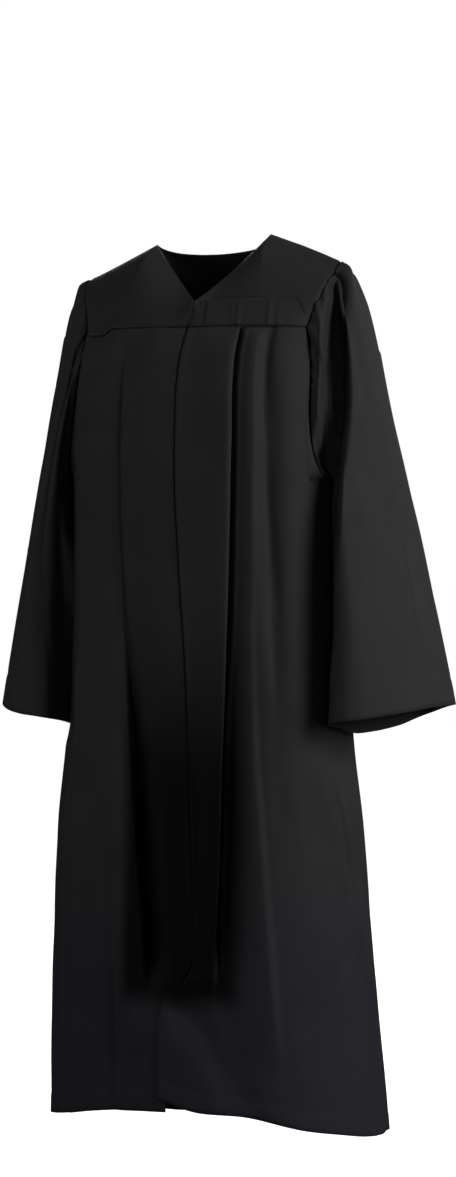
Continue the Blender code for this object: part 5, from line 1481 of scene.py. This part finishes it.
def zip_line():
    """The closed zip's middle from the bottom of the V to its end, with its directions along
    and outward."""
    down = np.linspace(0, 1, ZIP_YOKE_POINTS)
    z = np.linspace(YOKE_SEAM, ZIP_END, ZIP_POINTS)[1:]
    edges = [np.concatenate([front_yoke_rib(0.0, down, side),
                             body(front_edge_angle(z, side), z, YOKE_SEAM)]) for side in (1, -1)]
    middle = (edges[0] + edges[1]) / 2
    along = unit(np.gradient(middle, axis=0))
    outward = unit(np.cross(np.broadcast_to([1.0, 0.0, 0.0], along.shape), along))
    return middle, along, outward * np.sign(-outward[:, 1:2])


def zip_teeth(material):
    """Two rows of teeth that meet in the middle, each row half a step from the other."""
    middle, along, outward = zip_line()
    length = travelled(middle)
    half_across, half_out, half_along = np.array(TOOTH_SIZE) / 2
    vertices, faces = [], []
    for side in (1, -1):
        start = SLIDER_BELOW_V if side > 0 else SLIDER_BELOW_V + TOOTH_PITCH / 2
        at = np.arange(start, length[-1] - TEETH_END, TOOTH_PITCH)
        outs, ways = (unit(read_line(at, length, lines)) for lines in (outward, along))
        sides = np.cross(outs, ways)
        sides = sides * np.sign(sides[:, :1]) * side
        centres = read_line(at, length, middle) - outs * TOOTH_DEPTH
        centres = centres + sides * half_across * TOOTH_ASIDE
        for centre, out, way, across in zip(centres, outs, ways, sides):
            add_prism(vertices, faces, [
                [centre - across * reach * half_across + out * a * half_out * size
                 + way * b * half_along * size for a, b in TOOTH_CORNERS]
                for reach, size in TOOTH_RINGS])
    return add_mesh("zip_teeth", tilted(vertices), faces, material)


def tape_cloth(side):
    """Zip tape behind one front edge."""
    middle, along, outward = zip_line()
    across = unit(np.cross(outward, along))
    across = across * np.sign(across[:, :1]) * side
    reach = np.linspace(TAPE_EDGE, TAPE_WIDTH, TAPE_COLUMNS)[None, :, None]
    points = middle[:, None, :] + across[:, None, :] * reach
    points = points - outward[:, None, :] * TAPE_DEPTH
    lean = np.linspace(0, 1, TAPE_COLUMNS)[None, :, None] ** 2 * TAPE_LEAN
    return as_cloth(points + np.array([0.0, 1.0, 0.0]) * lean)


# ---------------------------------------------------------------- assembling
STITCH_ROW = 3              # stitches lie in this row or column from a yoke's edge

# Each piece of cloth: its solid, how it hangs, the size that its shown part was cut to, and what
# it hangs from or lies on
SheetRow = namedtuple("SheetRow", "node slot width length area held rests_on")
SHEETS = (
    SheetRow("front_left", "gown_cloth", 0.47, 1.18, 0.40, "hung", ("yoke_front_left",)),
    SheetRow("front_right", "gown_cloth", 0.48, 1.18, 0.42, "hung", ("yoke_front_right",)),
    SheetRow("back", "gown_cloth", 0.90, 1.18, 0.82, "gathered", ("yoke_back",)),
    SheetRow("yoke_front_left", "yoke_cloth", 0.24, 0.185, 0.0265, "draped", ("yoke_back",)),
    SheetRow("yoke_front_right", "yoke_cloth", 0.24, 0.185, 0.0280, "draped", ("yoke_back",)),
    SheetRow("yoke_back", "yoke_cloth", 0.46, 0.165, 0.0680, "draped", ()),
    SheetRow("yoke_band_left", "yoke_cloth", 0.19, 0.046, 0.0075, "draped", ("yoke_front_left",)),
    SheetRow("sleeve_left", "gown_cloth", 0.90, 0.66, 0.35, "gathered",
             ("yoke_front_left", "yoke_back", "front_left", "back")),
    SheetRow("sleeve_right", "gown_cloth", 0.90, 0.66, 0.35, "gathered",
             ("yoke_front_right", "yoke_back", "front_right", "back")),
    SheetRow("zip_tape_left", "zip_tape", 0.0101, 0.965, 0.0097, "hung", ("front_left",)),
    SheetRow("zip_tape_right", "zip_tape", 0.0101, 0.965, 0.0097, "hung", ("front_right",)),
)


def dress():
    # the gown's cloth carries painted shade in the middle of its front (deep=True)
    gown = cloth_material("gown_cloth_woven", (0.0178, 0.0178, 0.0180), (0.0150, 0.0141, 0.0190),
                          deep=True, sheen=0.01, specular=0.05)
    yoke = cloth_material("yoke_cloth_woven", (0.0115, 0.0115, 0.0130), grain=0.30, sheen=0.03)
    tape = cloth_material("zip_tape_woven", (0.0025, 0.0025, 0.0025), thread=0.0008, grain=0.8)
    thread = cloth_material("thread", (0.012, 0.012, 0.013), thread=0.0003, sheen=0.05)
    metal = metal_material("zip_metal_dark", (0.032, 0.032, 0.034), 0.32)
    teeth = metal_material("zip_teeth_dark", (0.006, 0.006, 0.0065), 0.45)

    cloths = {"back": back_cloth(), "yoke_back": back_yoke_cloth(), "yoke_band_left": band_cloth()}
    for end, side in (("_left", 1), ("_right", -1)):
        cloths["front" + end] = front_cloth(side)
        cloths["yoke_front" + end] = front_yoke_cloth(side)
        cloths["sleeve" + end] = sleeve_cloth(side)
        cloths["zip_tape" + end] = tape_cloth(side)
    materials = {"gown_cloth": gown, "yoke_cloth": yoke, "zip_tape": tape}
    for row in SHEETS:
        is_tape = row.slot == "zip_tape"
        item = cloth_shell("cloth_" + row.node, cloths[row.node], materials[row.slot],
                           row.node.startswith("sleeve"), TAPE_WALL if is_tape else SHELL)
        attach(item, "gown")
        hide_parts(row.node)

    yokes = [cloths[name] for name in ("yoke_front_left", "yoke_front_right", "yoke_back")]
    band = cloths["yoke_band_left"]
    rows = [(tilted(cloth.points[-STITCH_ROW]), cloth.outward[-STITCH_ROW]) for cloth in yokes]
    rows += [(tilted(cloth.points[:, -STITCH_ROW]), cloth.outward[:, -STITCH_ROW])
             for cloth in yokes[:2]]
    rows.append((tilted(band.points[1]), band.outward[1]))
    item = stitches("stitches_yokes", rows, thread)
    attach(item, "gown")
    hemmed = ("front_left", "front_right", "back", "sleeve_left", "sleeve_right")
    item = stitches("stitches_hems", [hem_line(cloths[name]) for name in hemmed], thread)
    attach(item, "gown")
    item = zip_teeth(teeth)
    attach(item, "gown")
    for node in ("zip_slider", "zip_pull"):
        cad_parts[node].data.materials.clear()
        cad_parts[node].data.materials.append(metal)


# ---------------------------------------------------------------- camera, floor and light
CAMERA_DISTANCE = 5.5
CAMERA_HEIGHT = -0.36
SENSOR_WIDTH = 36.0         # millimetres
PIXEL = 0.001457            # metres a pixel at the gown
FRAME_WIDTH, FRAME_HEIGHT = 456, 1177
ORIGIN_PIXEL = (214.0, 240.0)
FLOOR_HEIGHT = -1.43
FLOOR_REACH = 60.0

LightRow = namedtuple("LightRow", "name place target size power")
LIGHTS = (
    LightRow("key", (3.89, -0.69, 0.84), (0.0, 0.0, -0.6), 2.2, 170.0),
    LightRow("front", (1.77, -3.79, -0.20), (0.0, 0.0, -0.6), 2.2, 17.0),
    LightRow("front_right", (-2.37, -3.39, 0.13), (0.0, 0.0, -0.6), 2.2, 38.0),
    LightRow("side", (-3.89, -1.42, 0.13), (0.0, 0.0, -0.6), 2.2, 33.0),
    LightRow("low", (3.40, -1.90, -1.22), (0.2, 0.0, -0.7), 0.4, 16.0),
    LightRow("top", (0.0, -0.37, 3.58), (0.0, 0.0, -0.6), 2.2, 30.0),
    LightRow("rim", (2.54, 3.02, 0.84), (0.0, 0.0, -0.6), 2.2, 32.0),
    LightRow("back", (-1.02, 3.81, 0.84), (0.0, 0.0, -0.6), 2.2, 60.0),
)


def look(place, target):
    """Rotation that turns a camera or a light from its place towards a target."""
    return Vector(target - place).to_track_quat("-Z", "Y").to_euler()


def camera():
    data = bpy.data.cameras.new("camera")
    data.sensor_width = SENSOR_WIDTH
    data.lens = CAMERA_DISTANCE / PIXEL * SENSOR_WIDTH / FRAME_HEIGHT
    item = bpy.data.objects.new("camera", data)
    bpy.context.scene.collection.objects.link(item)
    place = np.array([CAMERA_DISTANCE * math.sin(CAMERA_TURN),
                      -CAMERA_DISTANCE * math.cos(CAMERA_TURN), CAMERA_HEIGHT])
    aside = (FRAME_WIDTH / 2 - ORIGIN_PIXEL[0]) * PIXEL
    target = np.array([aside * math.cos(CAMERA_TURN), aside * math.sin(CAMERA_TURN),
                       (ORIGIN_PIXEL[1] - FRAME_HEIGHT / 2) * PIXEL])
    item.location = place
    item.rotation_euler = look(place, target)
    bpy.context.scene.camera = item


def area_light(name, place, target, size, power):
    data = bpy.data.lights.new(name, "AREA")
    data.shape = "DISK"
    data.size = size
    data.energy = power
    item = bpy.data.objects.new(name, data)
    item.location = place
    item.rotation_euler = look(np.array(place), np.array(target))
    item.visible_camera = False
    bpy.context.scene.collection.objects.link(item)


def studio():
    """The floor and the white world, which throw no light on the gown, and the soft lights."""
    mesh = bpy.data.meshes.new("floor")
    corners = [(x * FLOOR_REACH, y * FLOOR_REACH, FLOOR_HEIGHT)
               for x, y in ((-1, -1), (1, -1), (1, 1), (-1, 1))]
    mesh.from_pydata(corners, [], [(0, 1, 2, 3)])
    floor = bpy.data.objects.new("floor", mesh)
    mesh.materials.append(floor_material())
    bpy.context.scene.collection.objects.link(floor)
    floor.visible_diffuse = False
    floor.visible_glossy = False
    world = bpy.data.worlds.new("studio")
    world.cycles_visibility.diffuse = False
    world.cycles_visibility.glossy = False
    bpy.context.scene.world = world
    world.use_nodes = True
    sky = world.node_tree.nodes["Background"]
    sky.inputs["Color"].default_value = (1.0, 1.0, 1.0, 1.0)
    sky.inputs["Strength"].default_value = 1.0
    for row in LIGHTS:
        area_light(*row)
    bpy.context.scene.view_settings.view_transform = "Standard"


dress()
camera()
studio()
